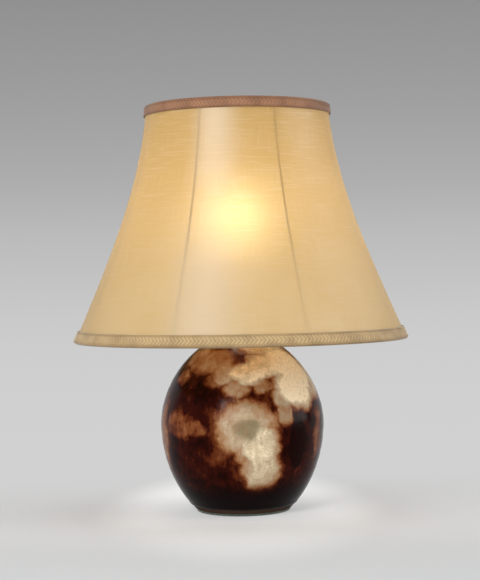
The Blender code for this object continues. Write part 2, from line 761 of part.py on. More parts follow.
def build_socket_cap(parent):
    neck = SOCKET_CAP_NECK_RADIUS
    inner_neck = neck - SOCKET_WALL
    floor_height = SOCKET_CAP_NECK_HEIGHT + SOCKET_WALL
    skirt = SOCKET_CAP_HEIGHT - SHELL_OVERLAP
    outline = [(SOCKET_RADIUS, SOCKET_CAP_HEIGHT), (SOCKET_RADIUS, skirt)]
    outline += reversed(
        bowl(SOCKET_RADIUS, neck, SOCKET_CAP_NECK_HEIGHT, skirt, SOCKET_CAP_CURVE_POINTS)[:-1]
    )
    outline += [(neck, 0), (PIPE_HOLE_RADIUS, 0), (PIPE_HOLE_RADIUS, floor_height)]
    outline += bowl(
        SOCKET_RADIUS - SOCKET_WALL, inner_neck, floor_height, skirt, SOCKET_CAP_CURVE_POINTS
    )
    outline += [(SOCKET_RADIUS - SOCKET_WALL, SOCKET_CAP_HEIGHT)]
    cap = turned("socket_cap", outline, MIDDLE_STEPS)
    place(cap, "antique_brass", parent, SOCKET_Z)
    hole = cutter("set_screw_cutter", SET_SCREW_RADIUS + GAP, neck + OVERRUN, SMALL_STEPS)
    aim(hole, (1, 0, 0), (0, 0, SOCKET_Z + SOCKET_CAP_NECK_HEIGHT / 2))
    boolean(cap, hole, "DIFFERENCE")
    build_set_screw(parent)


def bowl(rim_radius, foot_radius, bottom, top, count):
    """A rounded outline from its foot up to its rim."""
    points = []
    for t in shares_of(count):
        angle = t * math.pi / 2
        points.append(
            (
                foot_radius + (rim_radius - foot_radius) * math.sin(angle),
                top - (top - bottom) * math.cos(angle),
            )
        )
    return points


def build_set_screw(parent):
    start = PIPE_RADIUS + GAP
    head = SOCKET_CAP_NECK_RADIUS + GAP - start
    outline = [
        (0, head + SET_SCREW_HEAD_HEIGHT),
        (SET_SCREW_HEAD_RADIUS, head + SET_SCREW_HEAD_HEIGHT),
        (SET_SCREW_HEAD_RADIUS, head),
        (SET_SCREW_RADIUS, head),
        (SET_SCREW_RADIUS, 0),
        (0, 0),
    ]
    screw = turned("cap_set_screw", outline, SMALL_STEPS, closed=False)
    aim(screw, (1, 0, 0), (start, 0, SOCKET_Z + SOCKET_CAP_NECK_HEIGHT / 2))
    place(screw, "steel", parent)


def stem_hole(name, radius):
    """A cutter from the socket's axis out through its front, for the switch stem."""
    hole = cutter(name, radius, SOCKET_RADIUS + OVERRUN, SMALL_STEPS)
    return aim(hole, (0, -1, 0), (0, 0, STEM_Z))


def build_socket_shells(parent):
    shell_bore = SHELL_RADIUS - SOCKET_WALL
    shell_hole = STEM_RADIUS + 2 * STEM_CLEARANCE
    outline = [
        (SHELL_RADIUS - SHELL_LIP, SHELL_HEIGHT),
        (SHELL_RADIUS, SHELL_HEIGHT - SHELL_LIP),
        (SHELL_RADIUS, 0),
        (shell_bore, 0),
        (shell_bore, SHELL_HEIGHT - SHELL_LIP - SOCKET_WALL),
        (SHELL_RADIUS - SHELL_LIP - SOCKET_WALL, SHELL_HEIGHT - SOCKET_WALL),
    ]
    shell = turned("socket_shell", outline, MIDDLE_STEPS)
    place(shell, "antique_brass", parent, SHELL_Z)
    boolean(shell, stem_hole("shell_stem_cutter", shell_hole), "DIFFERENCE")
    liner = turned(
        "socket_liner",
        ring_outline(LINER_RADIUS, LINER_BORE_RADIUS, 0, SHELL_HEIGHT - SHELL_LIP - LINER_SHORT),
        MIDDLE_STEPS,
    )
    place(liner, "cardboard", parent, SHELL_Z + GAP)
    boolean(liner, stem_hole("liner_stem_cutter", shell_hole), "DIFFERENCE")


def build_insulator(parent):
    flange = LINER_BORE_RADIUS - GAP
    outline = [
        (0, INSULATOR_HEIGHT),
        (INSULATOR_RADIUS, INSULATOR_HEIGHT),
        (INSULATOR_RADIUS, INSULATOR_FLANGE_THICKNESS),
        (flange, INSULATOR_FLANGE_THICKNESS),
        (flange, 0),
        (0, 0),
    ]
    insulator = turned("socket_insulator", outline, MIDDLE_STEPS, closed=False)
    place(insulator, "phenolic", parent, INSULATOR_Z)
    bore = cutter(
        "insulator_stem_cutter", STEM_RADIUS + STEM_CLEARANCE, STEM_DEPTH + OVERRUN, SMALL_STEPS
    )
    aim(bore, (0, -1, 0), (0, STEM_DEPTH - INSULATOR_RADIUS, STEM_Z))
    boolean(insulator, bore, "DIFFERENCE")
    for side, label in ((-1, "neutral"), (1, "hot")):
        build_terminal(insulator, side, label, parent)
    contact = cylinder_mesh("contact_tab", CONTACT_RADIUS, CONTACT_HEIGHT, SMALL_STEPS)
    place(contact, "antique_brass", parent, INSULATOR_TOP_Z + GAP)


def build_terminal(insulator, side, label, parent):
    """A pan-head screw in the side of the insulator."""
    height = INSULATOR_Z + TERMINAL_HEIGHT
    inner = INSULATOR_RADIUS - TERMINAL_SHANK_LENGTH
    hole = cutter(
        "terminal_cutter_" + label,
        TERMINAL_SHANK_RADIUS + GAP,
        TERMINAL_SHANK_LENGTH + GAP + OVERRUN,
        SMALL_STEPS,
    )
    aim(hole, (side, 0, 0), (side * (inner - GAP), 0, height))
    boolean(insulator, hole, "DIFFERENCE")
    head = TERMINAL_SHANK_LENGTH + GAP
    outline = [
        (0, head + TERMINAL_HEAD_HEIGHT),
        (TERMINAL_HEAD_RADIUS, head + TERMINAL_HEAD_HEIGHT),
        (TERMINAL_HEAD_RADIUS, head),
        (TERMINAL_SHANK_RADIUS, head),
        (TERMINAL_SHANK_RADIUS, 0),
        (0, 0),
    ]
    screw = turned("terminal_screw_" + label, outline, SMALL_STEPS, closed=False)
    aim(screw, (side, 0, 0), (side * inner, 0, height))
    place(screw, "antique_brass", parent)


def thread_wave(crest, start, count):
    """Rounded thread rings as an outline, from the top down."""
    points = []
    steps = count * THREAD_WAVE_STEPS
    for i in range(steps + 1):
        height = start + THREAD_PITCH * count * (1 - i / steps)
        wave = (1 + math.cos(TURN * i / THREAD_WAVE_STEPS)) / 2
        points.append((crest - THREAD_DEPTH * wave, height))
    return points


def build_screw_shell(parent):
    """The socket's threaded metal shell, whose rings follow the bulb's."""
    turns = THREAD_TURN_COUNT - 1
    thread_start = BULB_Z - SCREW_SHELL_Z + BULB_BASE_START + THREAD_PITCH / 2
    top = thread_start + THREAD_PITCH * turns + SCREW_SHELL_LIP
    bore = SCREW_SHELL_BORE_RADIUS
    root = bore - THREAD_DEPTH
    floor_hole = CONTACT_RADIUS + SCREW_SHELL_FLOOR_CLEARANCE
    inner = thread_wave(bore, thread_start, turns)
    outline = [(bore + SCREW_SHELL_WALL, top)]
    outline += [(radius + SCREW_SHELL_WALL, height) for radius, height in inner]
    outline += [(root + SCREW_SHELL_WALL, 0), (floor_hole, 0), (floor_hole, SCREW_SHELL_WALL)]
    outline += [(root, SCREW_SHELL_WALL)]
    outline += reversed(inner)
    outline += [(bore, top)]
    shell = turned("screw_shell", outline, MIDDLE_STEPS)
    place(shell, "aluminium", parent, SCREW_SHELL_Z)


def build_switch(parent):
    shell_face = SHELL_RADIUS + KNOB_STANDOFF
    stem_start = INSULATOR_RADIUS - STEM_DEPTH + GAP
    stem_length = shell_face + KNOB_BORE_DEPTH - GAP - stem_start
    stem = cylinder_mesh("switch_stem", STEM_RADIUS, stem_length, SMALL_STEPS)
    aim(stem, (0, -1, 0), (0, -stem_start, STEM_Z))
    place(stem, "steel", parent)
    knob = cylinder_mesh("switch_knob", KNOB_RADIUS, KNOB_LENGTH, 2 * KNOB_FLUTE_COUNT)
    for vertex in knob.data.vertices:
        turn = math.atan2(vertex.co.y, vertex.co.x) / TURN * 2 * KNOB_FLUTE_COUNT
        if round(turn) % 2:
            inward = 1 - KNOB_FLUTE_DEPTH / KNOB_RADIUS
            vertex.co.x *= inward
            vertex.co.y *= inward
    edge = knob.modifiers.new("edge", "BEVEL")
    edge.width = KNOB_EDGE
    edge.segments = 1
    edge.limit_method = "ANGLE"
    edge.angle_limit = math.radians(60)
    aim(knob, (0, -1, 0), (0, -shell_face, STEM_Z))
    place(knob, "phenolic", parent)
    bore = cutter("knob_bore_cutter", STEM_RADIUS + GAP, KNOB_BORE_DEPTH + OVERRUN, SMALL_STEPS)
    aim(bore, (0, -1, 0), (0, OVERRUN - shell_face, STEM_Z))
    boolean(knob, bore, "DIFFERENCE")


def bulb_outline(inset):
    """The glass envelope's outline, from its top down to the end of its neck."""
    radius = BULB_RADIUS - inset
    neck = BULB_NECK_RADIUS - inset
    centre = BULB_LENGTH - BULB_RADIUS
    points = []
    for t in shares_of(BULB_DOME_POINTS):
        angle = math.pi / 2 - t * (math.pi / 2 + BULB_JOIN_ANGLE)
        points.append((radius * math.cos(angle), centre + radius * math.sin(angle)))
    points[0] = (0, centre + radius)
    join_radius, join_height = points[-1]
    for t in shares_of(BULB_THROAT_POINTS)[1:]:
        fall = t * t * (3 - 2 * t)
        points.append(
            (
                join_radius + (neck - join_radius) * (fall + t) / 2,
                join_height + (BULB_NECK_TOP - join_height) * t,
            )
        )
    points.append((neck, BULB_NECK_START))
    return points


def build_bulb(parent):
    outline = bulb_outline(0) + list(reversed(bulb_outline(BULB_WALL)))
    glass = turned("bulb_glass", outline, MIDDLE_STEPS, closed=False)
    place(glass, "bulb_glass", parent, BULB_Z)

    base_top = BULB_BASE_START + BULB_BASE_HEIGHT
    thread = thread_wave(BULB_BASE_RADIUS, BULB_BASE_START + THREAD_PITCH / 2, THREAD_TURN_COUNT)
    root = BULB_BASE_RADIUS - THREAD_DEPTH
    outline = [(BULB_BASE_RADIUS, base_top)]
    outline += thread
    outline += [(root, BULB_BASE_START), (BULB_BORE_RADIUS, BULB_BASE_START)]
    outline += [(BULB_BORE_RADIUS, base_top)]
    base = turned("bulb_screw_base", outline, MIDDLE_STEPS)
    place(base, "aluminium", parent, BULB_Z)

    insulator_radius = BULB_BORE_RADIUS
    insulator_bottom = BULB_TIP_HEIGHT + GAP
    outline = [
        (0, BULB_BASE_START - GAP),
        (insulator_radius, BULB_BASE_START - GAP),
        (BULB_TIP_RADIUS + BULB_TIP_HEIGHT, insulator_bottom),
        (0, insulator_bottom),
    ]
    insulator = turned("bulb_insulator", outline, MIDDLE_STEPS, closed=False)
    place(insulator, "phenolic", parent, BULB_Z)

    outline = dome(BULB_TIP_RADIUS, 0, 0, BULB_TIP_HEIGHT, BEND_POINTS)
    outline = [(0, BULB_TIP_HEIGHT)] + [
        (radius, BULB_TIP_HEIGHT - height) for radius, height in reversed(outline)
    ]
    tip = turned("bulb_tip_contact", outline, SMALL_STEPS, closed=False)
    place(tip, "solder", parent, BULB_Z)

    stem_bottom = BULB_BASE_START
    stem_top = BULB_NECK_START + BULB_STEM_LENGTH
    outline = [
        (0, stem_top),
        (BULB_STEM_RADIUS, stem_top),
        (BULB_STEM_RADIUS, BULB_NECK_START),
        (BULB_NECK_RADIUS - BULB_WALL - GAP, BULB_NECK_START),
        (BULB_NECK_RADIUS - BULB_WALL - GAP, stem_bottom),
        (0, stem_bottom),
    ]
    stem = turned("bulb_stem", outline, SMALL_STEPS, closed=False)
    place(stem, "bulb_glass", parent, BULB_Z)
    build_filament(parent, stem_top + GAP)


def build_filament(parent, start):
    """The lead wires and the filament as one bent wire above the stem."""
    foot = BULB_STEM_RADIUS - 2 * FILAMENT_WIRE_RADIUS
    points = [Vector((-foot, 0, start)), Vector((-FILAMENT_SPREAD, 0, start + FILAMENT_HEIGHT))]
    for t in shares_of(FILAMENT_POINTS)[1:-1]:
        across = FILAMENT_SPREAD * (2 * t - 1)
        rise = FILAMENT_HEIGHT + FILAMENT_ARCH * math.sin(math.pi * t)
        points.append(Vector((across, 0, start + rise)))
    points += [Vector((FILAMENT_SPREAD, 0, start + FILAMENT_HEIGHT)), Vector((foot, 0, start))]
    wire = tube("bulb_filament", points, FILAMENT_WIRE_RADIUS)
    place(wire, "tungsten", parent, BULB_Z)


def curve_radius(height, depth):
    """Radius of the shade's bell curve at a height, or of a curve that lies deeper by depth."""
    t = (SHADE_RISE - height) / SHADE_HEIGHT
    linear, square, cube = SHADE_FLARE_SHARES
    spread = SHADE_BOTTOM_RADIUS - SHADE_TOP_RADIUS
    radius = SHADE_TOP_RADIUS + spread * (linear * t + square * t**2 + cube * t**3)
    slope = spread * (linear + 2 * square * t + 3 * cube * t**2) / SHADE_HEIGHT
    return radius - depth * math.hypot(1, slope)


def skin_heights():
    """Heights of the shade's rows of points, from the top edge down."""
    return [SHADE_RISE - SHADE_HEIGHT * t for t in shares_of(SKIN_POINTS)]


def bell_radius(height, depth=0.0):
    """The same radius on the straight stretches between the shade's rows of points."""
    rows = skin_heights()
    for above, below in zip(rows, rows[1:]):
        if height > below:
            break
    t = (above - height) / (above - below)
    return curve_radius(above, depth) * (1 - t) + curve_radius(below, depth) * t


def build_skin(parent):
    heights = skin_heights()
    outline = [(bell_radius(height), height) for height in heights]
    outline += [(bell_radius(height, SKIN_THICKNESS), height) for height in reversed(heights)]
    skin = turned("shade_skin", outline, SHADE_STEPS)
    place(skin, "linen", parent, SHADE_Z)


def ring_heights():
    """Heights of the top and bottom ring wires' middles."""
    inset = RING_WIRE_RADIUS + GAP
    return SHADE_RISE - inset, SHADE_RISE - SHADE_HEIGHT + inset


def build_rings(parent):
    for label, height in zip(("top", "bottom"), ring_heights()):
        radius = bell_radius(height, SKIN_THICKNESS + 2 * GAP + RING_WIRE_RADIUS)
        outline = []
        for side in range(RING_SIDES):
            angle = -TURN * side / RING_SIDES
            outline.append(
                (radius + RING_WIRE_RADIUS * math.cos(angle), RING_WIRE_RADIUS * math.sin(angle))
            )
        ring = turned("shade_" + label + "_ring", outline, SHADE_STEPS)
        place(ring, "frame_wire", parent, SHADE_Z + height)


def build_ribs(parent):
    reach = RING_WIRE_RADIUS + GAP
    top, bottom = ring_heights()
    top -= reach
    bottom += reach
    depth = SKIN_THICKNESS + GAP + RIB_WIRE_RADIUS
    heights = [top] + [height for height in skin_heights() if bottom < height < top] + [bottom]
    line = [(bell_radius(height, depth), height) for height in heights]
    for number in range(RIB_COUNT):
        angle = RIB_FIRST_ANGLE + TURN * number / RIB_COUNT
        out = Vector((math.cos(angle), math.sin(angle), 0))
        points = [out * radius + Vector((0, 0, height)) for radius, height in line]
        rib = tube(f"shade_rib_{number + 1}", points, RIB_WIRE_RADIUS)
        place(rib, "frame_wire", parent, SHADE_Z)


def spider_arm(angle):
    """One spider arm: out from the hub, then up to the underside of the top ring."""
    out = Vector((math.cos(angle), math.sin(angle), 0))
    up = Vector((0, 0, 1))
    level = SPIDER_HUB_THICKNESS / 2
    ring_height = ring_heights()[0]
    ring_radius = bell_radius(ring_height, SKIN_THICKNESS + 2 * GAP + RING_WIRE_RADIUS)
    end_height = ring_height - RING_WIRE_RADIUS - GAP
    end_radius = ring_radius - GAP
    centre = out * (end_radius - SPIDER_BEND_RADIUS) + up * (level + SPIDER_BEND_RADIUS)
    points = [out * (SPIDER_HUB_RADIUS - SPIDER_WIRE_RADIUS) + up * level]
    for t in shares_of(BEND_POINTS):
        turn = t * math.pi / 2
        points.append(centre + SPIDER_BEND_RADIUS * (out * math.sin(turn) - up * math.cos(turn)))
    points.append(out * end_radius + up * end_height)
    return points


def build_spider(parent):
    hub = turned(
        "shade_spider",
        ring_outline(
            SPIDER_HUB_RADIUS, STUD_THREAD_RADIUS + SPIDER_HOLE_CLEARANCE, 0, SPIDER_HUB_THICKNESS
        ),
        MIDDLE_STEPS,
    )
    arms = []
    for number in range(SPIDER_ARM_COUNT):
        angle = SPIDER_FIRST_ANGLE + TURN * number / SPIDER_ARM_COUNT
        arms.append(tube_mesh(f"spider_arm_{number + 1}", spider_arm(angle), SPIDER_WIRE_RADIUS))
    joined(hub, arms)
    place(hub, "frame_wire", parent, SHADE_Z)


def build_trims(parent):
    """Binding tapes that wrap the shade's two edges and the ring wires inside them."""
    over = TRIM_THICKNESS + GAP
    behind = SKIN_THICKNESS + 3 * GAP + 2 * RING_WIRE_RADIUS
    bottom = SHADE_RISE - SHADE_HEIGHT
    high = bottom + BOTTOM_TRIM_HEIGHT
    inside = bottom + BOTTOM_TRIM_INSIDE
    outline = [
        (bell_radius(high, -over), high),
        (bell_radius(bottom, -over), bottom - over),
        (bell_radius(bottom, behind + TRIM_THICKNESS), bottom - over),
        (bell_radius(inside, behind + TRIM_THICKNESS), inside),
        (bell_radius(inside, behind), inside),
        (bell_radius(bottom, behind), bottom - GAP),
        (bell_radius(bottom, -GAP), bottom - GAP),
        (bell_radius(high, -GAP), high),
    ]
    trim = turned("shade_bottom_trim", outline, SHADE_STEPS)
    place(trim, "braid", parent, SHADE_Z)
    top = SHADE_RISE
    low = top - TOP_TRIM_HEIGHT
    inside = top - TOP_TRIM_INSIDE
    outline = [
        (bell_radius(top, -over), top + over),
        (bell_radius(low, -over), low),
        (bell_radius(low, -GAP), low),
        (bell_radius(top, -GAP), top + GAP),
        (bell_radius(top, behind), top + GAP),
        (bell_radius(inside, behind), inside),
        (bell_radius(inside, behind + TRIM_THICKNESS), inside),
        (bell_radius(top, behind + TRIM_THICKNESS), top + over),
    ]
    trim = turned("shade_top_trim", outline, SHADE_STEPS)
    place(trim, "braid", parent, SHADE_Z)


def build_finial(parent):
    bore = STUD_THREAD_RADIUS + FINIAL_BORE_CLEARANCE
    base = turned(
        "finial_base",
        ring_outline(STUD_THREAD_RADIUS + FINIAL_BASE_WIDTH, bore, 0, FINIAL_BASE_HEIGHT),
        MIDDLE_STEPS,
    )
    place(base, "antique_brass", parent, FINIAL_Z)
    depth = THREAD_TOP_Z - FINIAL_KNOB_Z + FINIAL_BORE_SPARE
    outline = [(0, FINIAL_KNOB_HEIGHT)]
    outline += [
        (FINIAL_KNOB_RADIUS * across, FINIAL_KNOB_HEIGHT * up) for across, up in FINIAL_OUTLINE_SHARES
    ]
    outline += [(bore, 0), (bore, depth), (0, depth)]
    knob = turned("finial_knob", outline, MIDDLE_STEPS, closed=False)
    place(knob, "antique_brass", parent, FINIAL_KNOB_Z)


def build_lamp():
    base = axis_empty("base", 0.0)
    socket = axis_empty("socket", SOCKET_Z, base)
    switch_axis = axis_empty("switch_axis", STEM_Z, socket)
    bulb_axis = axis_empty("bulb_axis", BULB_Z, socket)
    left_leg = axis_empty("left_leg", FERRULE_Z, base, -POST_X)
    right_leg = axis_empty("right_leg", FERRULE_Z, base, POST_X)
    stud_axis = axis_empty("stud_axis", STUD_Z, base)
    shade_seat = axis_empty("shade_seat", SHADE_Z, stud_axis)
    finial_axis = axis_empty("finial_axis", FINIAL_Z, shade_seat)

    build_felt_pad(base)
    build_ceramic_body(base)
    build_grommet(base)
    build_pan(base)
    build_pipe_and_bottom(base)
    build_vase_cap(base)
    build_neck(base)
    build_saddle(base)
    build_socket_cap(socket)
    build_socket_shells(socket)
    build_insulator(socket)
    build_screw_shell(socket)
    build_switch(switch_axis)
    build_bulb(bulb_axis)
    build_harp(base)
    build_ferrule("harp_ferrule_left", -1, left_leg)
    build_ferrule("harp_ferrule_right", 1, right_leg)
    build_stud(stud_axis)
    build_skin(shade_seat)
    build_rings(shade_seat)
    build_ribs(shade_seat)
    build_spider(shade_seat)
    build_trims(shade_seat)
    build_finial(finial_axis)


build_lamp()
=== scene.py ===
# A table lamp with its bulb lit: glazed stoneware body, linen bell shade, antique brass fittings.
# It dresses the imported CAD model. Metres, +Z up, the front of the lamp faces -Y.
import json
import math

import bpy
import numpy as np
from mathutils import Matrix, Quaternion, Vector


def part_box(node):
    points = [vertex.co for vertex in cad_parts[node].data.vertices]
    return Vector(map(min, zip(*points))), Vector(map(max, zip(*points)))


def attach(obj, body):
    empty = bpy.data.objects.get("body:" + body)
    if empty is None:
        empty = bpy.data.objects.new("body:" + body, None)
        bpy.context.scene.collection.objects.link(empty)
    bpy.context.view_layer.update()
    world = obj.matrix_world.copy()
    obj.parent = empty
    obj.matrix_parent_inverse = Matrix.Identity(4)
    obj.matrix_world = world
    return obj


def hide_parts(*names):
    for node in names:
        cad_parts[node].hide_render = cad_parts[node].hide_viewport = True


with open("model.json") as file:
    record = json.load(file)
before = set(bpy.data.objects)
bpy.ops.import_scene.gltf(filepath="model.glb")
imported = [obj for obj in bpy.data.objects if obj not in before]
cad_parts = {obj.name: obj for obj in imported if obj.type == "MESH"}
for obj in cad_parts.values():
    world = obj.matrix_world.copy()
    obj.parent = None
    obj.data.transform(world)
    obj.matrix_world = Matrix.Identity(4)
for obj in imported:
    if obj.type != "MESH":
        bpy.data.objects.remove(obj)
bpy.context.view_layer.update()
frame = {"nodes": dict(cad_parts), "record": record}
nodes = frame["nodes"]
bodyOf = {name: body for body, names in frame["record"]["behaviour"]["bodies"].items() for name in names}
slotOf = {part["node"]: part["material_slot"] for part in frame["record"]["subparts"]}
print("frame loaded,", len(nodes), "CAD nodes")

# where the photograph was taken from
camera = {"from": (0.0, -1.9, 0.295), "at": (0.0, 0.0, 0.2705), "angle": 21.3, "roll": -1.0}


def addCamera():
    bpy.ops.object.camera_add(location=camera["from"])
    made = bpy.context.object
    made.name = "photoCamera"
    aim = (Vector(camera["at"]) - made.location).to_track_quat("-Z", "Y")
    roll = Quaternion((0, 0, 1), math.radians(camera["roll"]))     # the photograph isn't quite upright
    made.rotation_euler = (aim @ roll).to_euler()
    made.data.lens = made.data.sensor_width / 2 / math.tan(math.radians(camera["angle"] / 2))
    bpy.context.scene.camera = made


addCamera()


# modelling helpers

def only(piece):
    bpy.ops.object.select_all(action="DESELECT")
    piece.select_set(True)
    bpy.context.view_layer.objects.active = piece


def nameIt(piece, name):
    piece.name = piece.data.name = name
    return piece


def modify(piece, kind, **settings):
    # adds a modifier, sets it up and applies it
    only(piece)
    bpy.ops.object.modifier_add(type=kind)
    made = piece.modifiers[-1]
    for key, value in settings.items():
        setattr(made, key, value)
    bpy.ops.object.modifier_apply(modifier=made.name)


def joinDoubles(distance=0.000002):
    bpy.ops.mesh.select_all(action="SELECT")
    bpy.ops.mesh.remove_doubles(threshold=distance)


def weld(piece, distance=0.00001):
    only(piece)
    bpy.ops.object.mode_set(mode="EDIT")
    joinDoubles(distance)
    bpy.ops.mesh.normals_make_consistent(inside=False)
    bpy.ops.object.mode_set(mode="OBJECT")


def spun(name, outline, steps, closed=True, offset=0.0, doublings=0):
    # a turned piece: one vertex is drawn out along the outline, then spun round the lamp's axis.
    # With doublings, only a sector is spun, and it is doubled until it goes all the way round
    bpy.ops.object.select_all(action="DESELECT")
    bpy.ops.mesh.primitive_plane_add(size=0.001)
    piece = nameIt(bpy.context.object, name)
    bpy.ops.object.mode_set(mode="EDIT")
    bpy.ops.mesh.select_all(action="SELECT")
    bpy.ops.mesh.merge(type="CENTER")
    across, up = outline[0]
    bpy.ops.transform.translate(value=(across, 0, up + offset))
    for nextAcross, nextUp in list(outline[1:]) + ([outline[0]] if closed else []):
        move = (nextAcross - across, 0, nextUp - up)
        bpy.ops.mesh.extrude_region_move(TRANSFORM_OT_translate={"value": move})
        across, up = nextAcross, nextUp
    joinDoubles()
    bpy.ops.mesh.select_all(action="SELECT")
    sector = 2 * math.pi / 2 ** doublings
    bpy.ops.mesh.spin(steps=steps // 2 ** doublings, angle=sector, center=(0, 0, 0), axis=(0, 0, 1))
    for i in range(doublings):
        bpy.ops.mesh.select_all(action="SELECT")
        bpy.ops.mesh.duplicate()
        bpy.ops.transform.rotate(value=sector * 2 ** i, orient_axis="Z", orient_type="GLOBAL",
                                 center_override=(0, 0, 0))
    joinDoubles()
    bpy.ops.mesh.normals_make_consistent(inside=False)
    bpy.ops.object.mode_set(mode="OBJECT")
    return piece


def arcPlaces(start, end, count, centre, radii, skip=0):
    # places on part of an ellipse, for an outline
    turns = [start + (end - start) * i / count for i in range(skip, count + 1)]
    return [(centre[0] + radii[0] * math.cos(turn), centre[1] + radii[1] * math.sin(turn)) for turn in turns]


def bentLine(knots, radius, resolution, roundness, name):
    # a round wire along a curve, as a mesh with closed ends. Each knot is a place and its two handles
    bpy.ops.object.select_all(action="DESELECT")
    bpy.ops.curve.primitive_bezier_curve_add(radius=0.01, location=(0, 0, 0))
    line = bpy.context.object
    spline = line.data.splines[0]
    spline.bezier_points.add(len(knots) - 2)
    for knot, (place, before, after) in zip(spline.bezier_points, knots):
        knot.co = place
        knot.handle_left_type = knot.handle_right_type = "VECTOR" if before is None else "FREE"
        if before is not None:
            knot.handle_left, knot.handle_right = before, after
    line.data.resolution_u = resolution
    line.data.bevel_depth = radius
    line.data.bevel_resolution = roundness
    line.data.use_fill_caps = True
    bpy.ops.object.convert(target="MESH")
    piece = nameIt(bpy.context.object, name)
    weld(piece)
    return piece


def wire(name, places, radius, sides=12):
    # a round wire straight from place to place
    return bentLine([(place, None, None) for place in places], radius, 1, sides // 4 - 1, name)


def merged(piece, others):
    # the others are fused into the piece, then removed
    for other in others:
        modify(piece, "BOOLEAN", operation="UNION", object=other, solver="EXACT")
        bpy.data.objects.remove(other, do_unlink=True)


def cutBy(piece, tool):
    modify(piece, "BOOLEAN", operation="DIFFERENCE", object=tool, solver="EXACT")
    bpy.data.objects.remove(tool, do_unlink=True)


def rod(place, direction, radius, length, sides=32):
    # a plain cylinder from a place along a direction, used as a cutter or fused into a piece
    bpy.ops.object.select_all(action="DESELECT")
    along = Vector(direction).normalized()
    bpy.ops.mesh.primitive_cylinder_add(vertices=sides, radius=radius, depth=length,
                                        location=Vector(place) + along * length / 2,
                                        rotation=along.to_track_quat("Z", "Y").to_euler())
    bpy.ops.object.transform_apply(location=True, rotation=True, scale=True)
    return bpy.context.object


def settle(piece, node, materials, angle=35):
    # the finished piece: its place in its mesh, smooth where it is round, on the body of the CAD node
    only(piece)
    bpy.ops.object.transform_apply(location=True, rotation=True, scale=True)
    bpy.ops.object.shade_smooth_by_angle(angle=math.radians(angle))
    if materials:
        piece.data.materials.clear()
    for material in materials:
        piece.data.materials.append(finishes[material])
    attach(piece, bodyOf[node])
    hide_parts(node)


def coordinates(piece):
    flat = np.empty(len(piece.data.vertices) * 3)
    piece.data.vertices.foreach_get("co", flat)
    return flat.reshape(-1, 3)


def moveTo(piece, places):
    piece.data.vertices.foreach_set("co", np.asarray(places, float).ravel())
    piece.data.update()


def mapRound(piece, name, upOf, panels=0, first=0.0):
    # a UV map in metres for a round piece: round it, and up it. With panels, each one is mapped flat
    # by itself, at its own distance, so that their threads don't line up
    distance = 0.317
    mesh = piece.data
    places = coordinates(piece)
    layer = mesh.uv_layers.new(name=name)
    corner = np.empty(len(mesh.loops), int)
    mesh.loops.foreach_get("vertex_index", corner)
    owner = np.repeat(np.arange(len(mesh.polygons)), [face.loop_total for face in mesh.polygons])
    angle = np.arctan2(places[corner, 1], places[corner, 0])
    middle = np.array([face.center[:] for face in mesh.polygons])
    middle = np.arctan2(middle[:, 1], middle[:, 0])[owner]
    angle = middle + (angle - middle + math.pi) % (2 * math.pi) - math.pi
    radius = np.hypot(places[corner, 0], places[corner, 1])
    if panels:
        width = 2 * math.pi / panels
        number = np.floor((middle - first) / width)
        across = (angle - (number + 0.5) * width - first) * radius + number * distance
    else:
        across = angle * float(np.mean(radius))
    layer.data.foreach_set("uv", np.stack([across, upOf(places[corner])], axis=1).ravel())


# shader helpers

def plug(tree, socket, value):
    if isinstance(value, bpy.types.NodeSocket):
        tree.links.new(value, socket)
    elif value is not None:
        socket.default_value = value


def fill(tree, node, inputs):
    for key, value in inputs.items():
        plug(tree, node.inputs[key], value)
    return node


def fresh(name, colour=(0.5, 0.5, 0.5), roughness=0.5, metallic=0.0):
    made = bpy.data.materials.new(name)
    made.use_nodes = True
    shader = made.node_tree.nodes["Principled BSDF"]
    fill(made.node_tree, shader, {"Base Color": (*colour, 1), "Roughness": roughness, "Metallic": metallic})
    return made, made.node_tree, shader


def put(tree, kind, inputs=None, **settings):
    made = tree.nodes.new("ShaderNode" + kind)
    for key, value in settings.items():
        setattr(made, key, value)
    return fill(tree, made, inputs or {})


def maths(tree, operation, a, b=None, c=None):
    return put(tree, "Math", {0: a, 1: b, 2: c}, operation=operation).outputs[0]


def times(tree, a, b):
    return maths(tree, "MULTIPLY", a, b)


def plus(tree, a, b):
    return maths(tree, "ADD", a, b)


def less(tree, a, b):
    return maths(tree, "SUBTRACT", a, b)


def larger(tree, a, b):
    return maths(tree, "MAXIMUM", a, b)


def swing(tree, value, reach):
    # noise from 0 to 1 as a push to both sides
    return times(tree, less(tree, value, 0.5), reach)


def span(tree, value, low, high, toLow=0.0, toHigh=1.0, smooth=True):
    kind = "SMOOTHSTEP" if smooth else "LINEAR"
    ends = {0: value, 1: low, 2: high, 3: toLow, 4: toHigh}
    return put(tree, "MapRange", ends, interpolation_type=kind).outputs[0]


def mixed(tree, factor, a, b, kind="MIX"):
    a, b = [(*x, 1) if isinstance(x, tuple) and len(x) == 3 else x for x in (a, b)]
    return put(tree, "Mix", {0: factor, 6: a, 7: b}, data_type="RGBA", blend_type=kind).outputs[2]


def vector(tree, operation, a, b=None):
    return put(tree, "VectorMath", {0: a, 1: b}, operation=operation).outputs[0]


def lengthOf(tree, value):
    return put(tree, "VectorMath", {0: value}, operation="LENGTH").outputs["Value"]


def split(tree, value):
    return put(tree, "SeparateXYZ", {0: value}).outputs


def joined(tree, x, y, z=None):
    return put(tree, "CombineXYZ", {0: x, 1: y, 2: z}).outputs[0]


def noisy(tree, where, scale, detail=2.0, rough=0.5, output=0):
    facts = {"Vector": where, "Scale": scale, "Detail": detail, "Roughness": rough}
    return put(tree, "TexNoise", facts).outputs[output]


def stretched(tree, where, scale):
    return put(tree, "Mapping", {"Vector": where, "Scale": scale}).outputs[0]


def objectPlace(tree):
    return put(tree, "TexCoord").outputs["Object"]


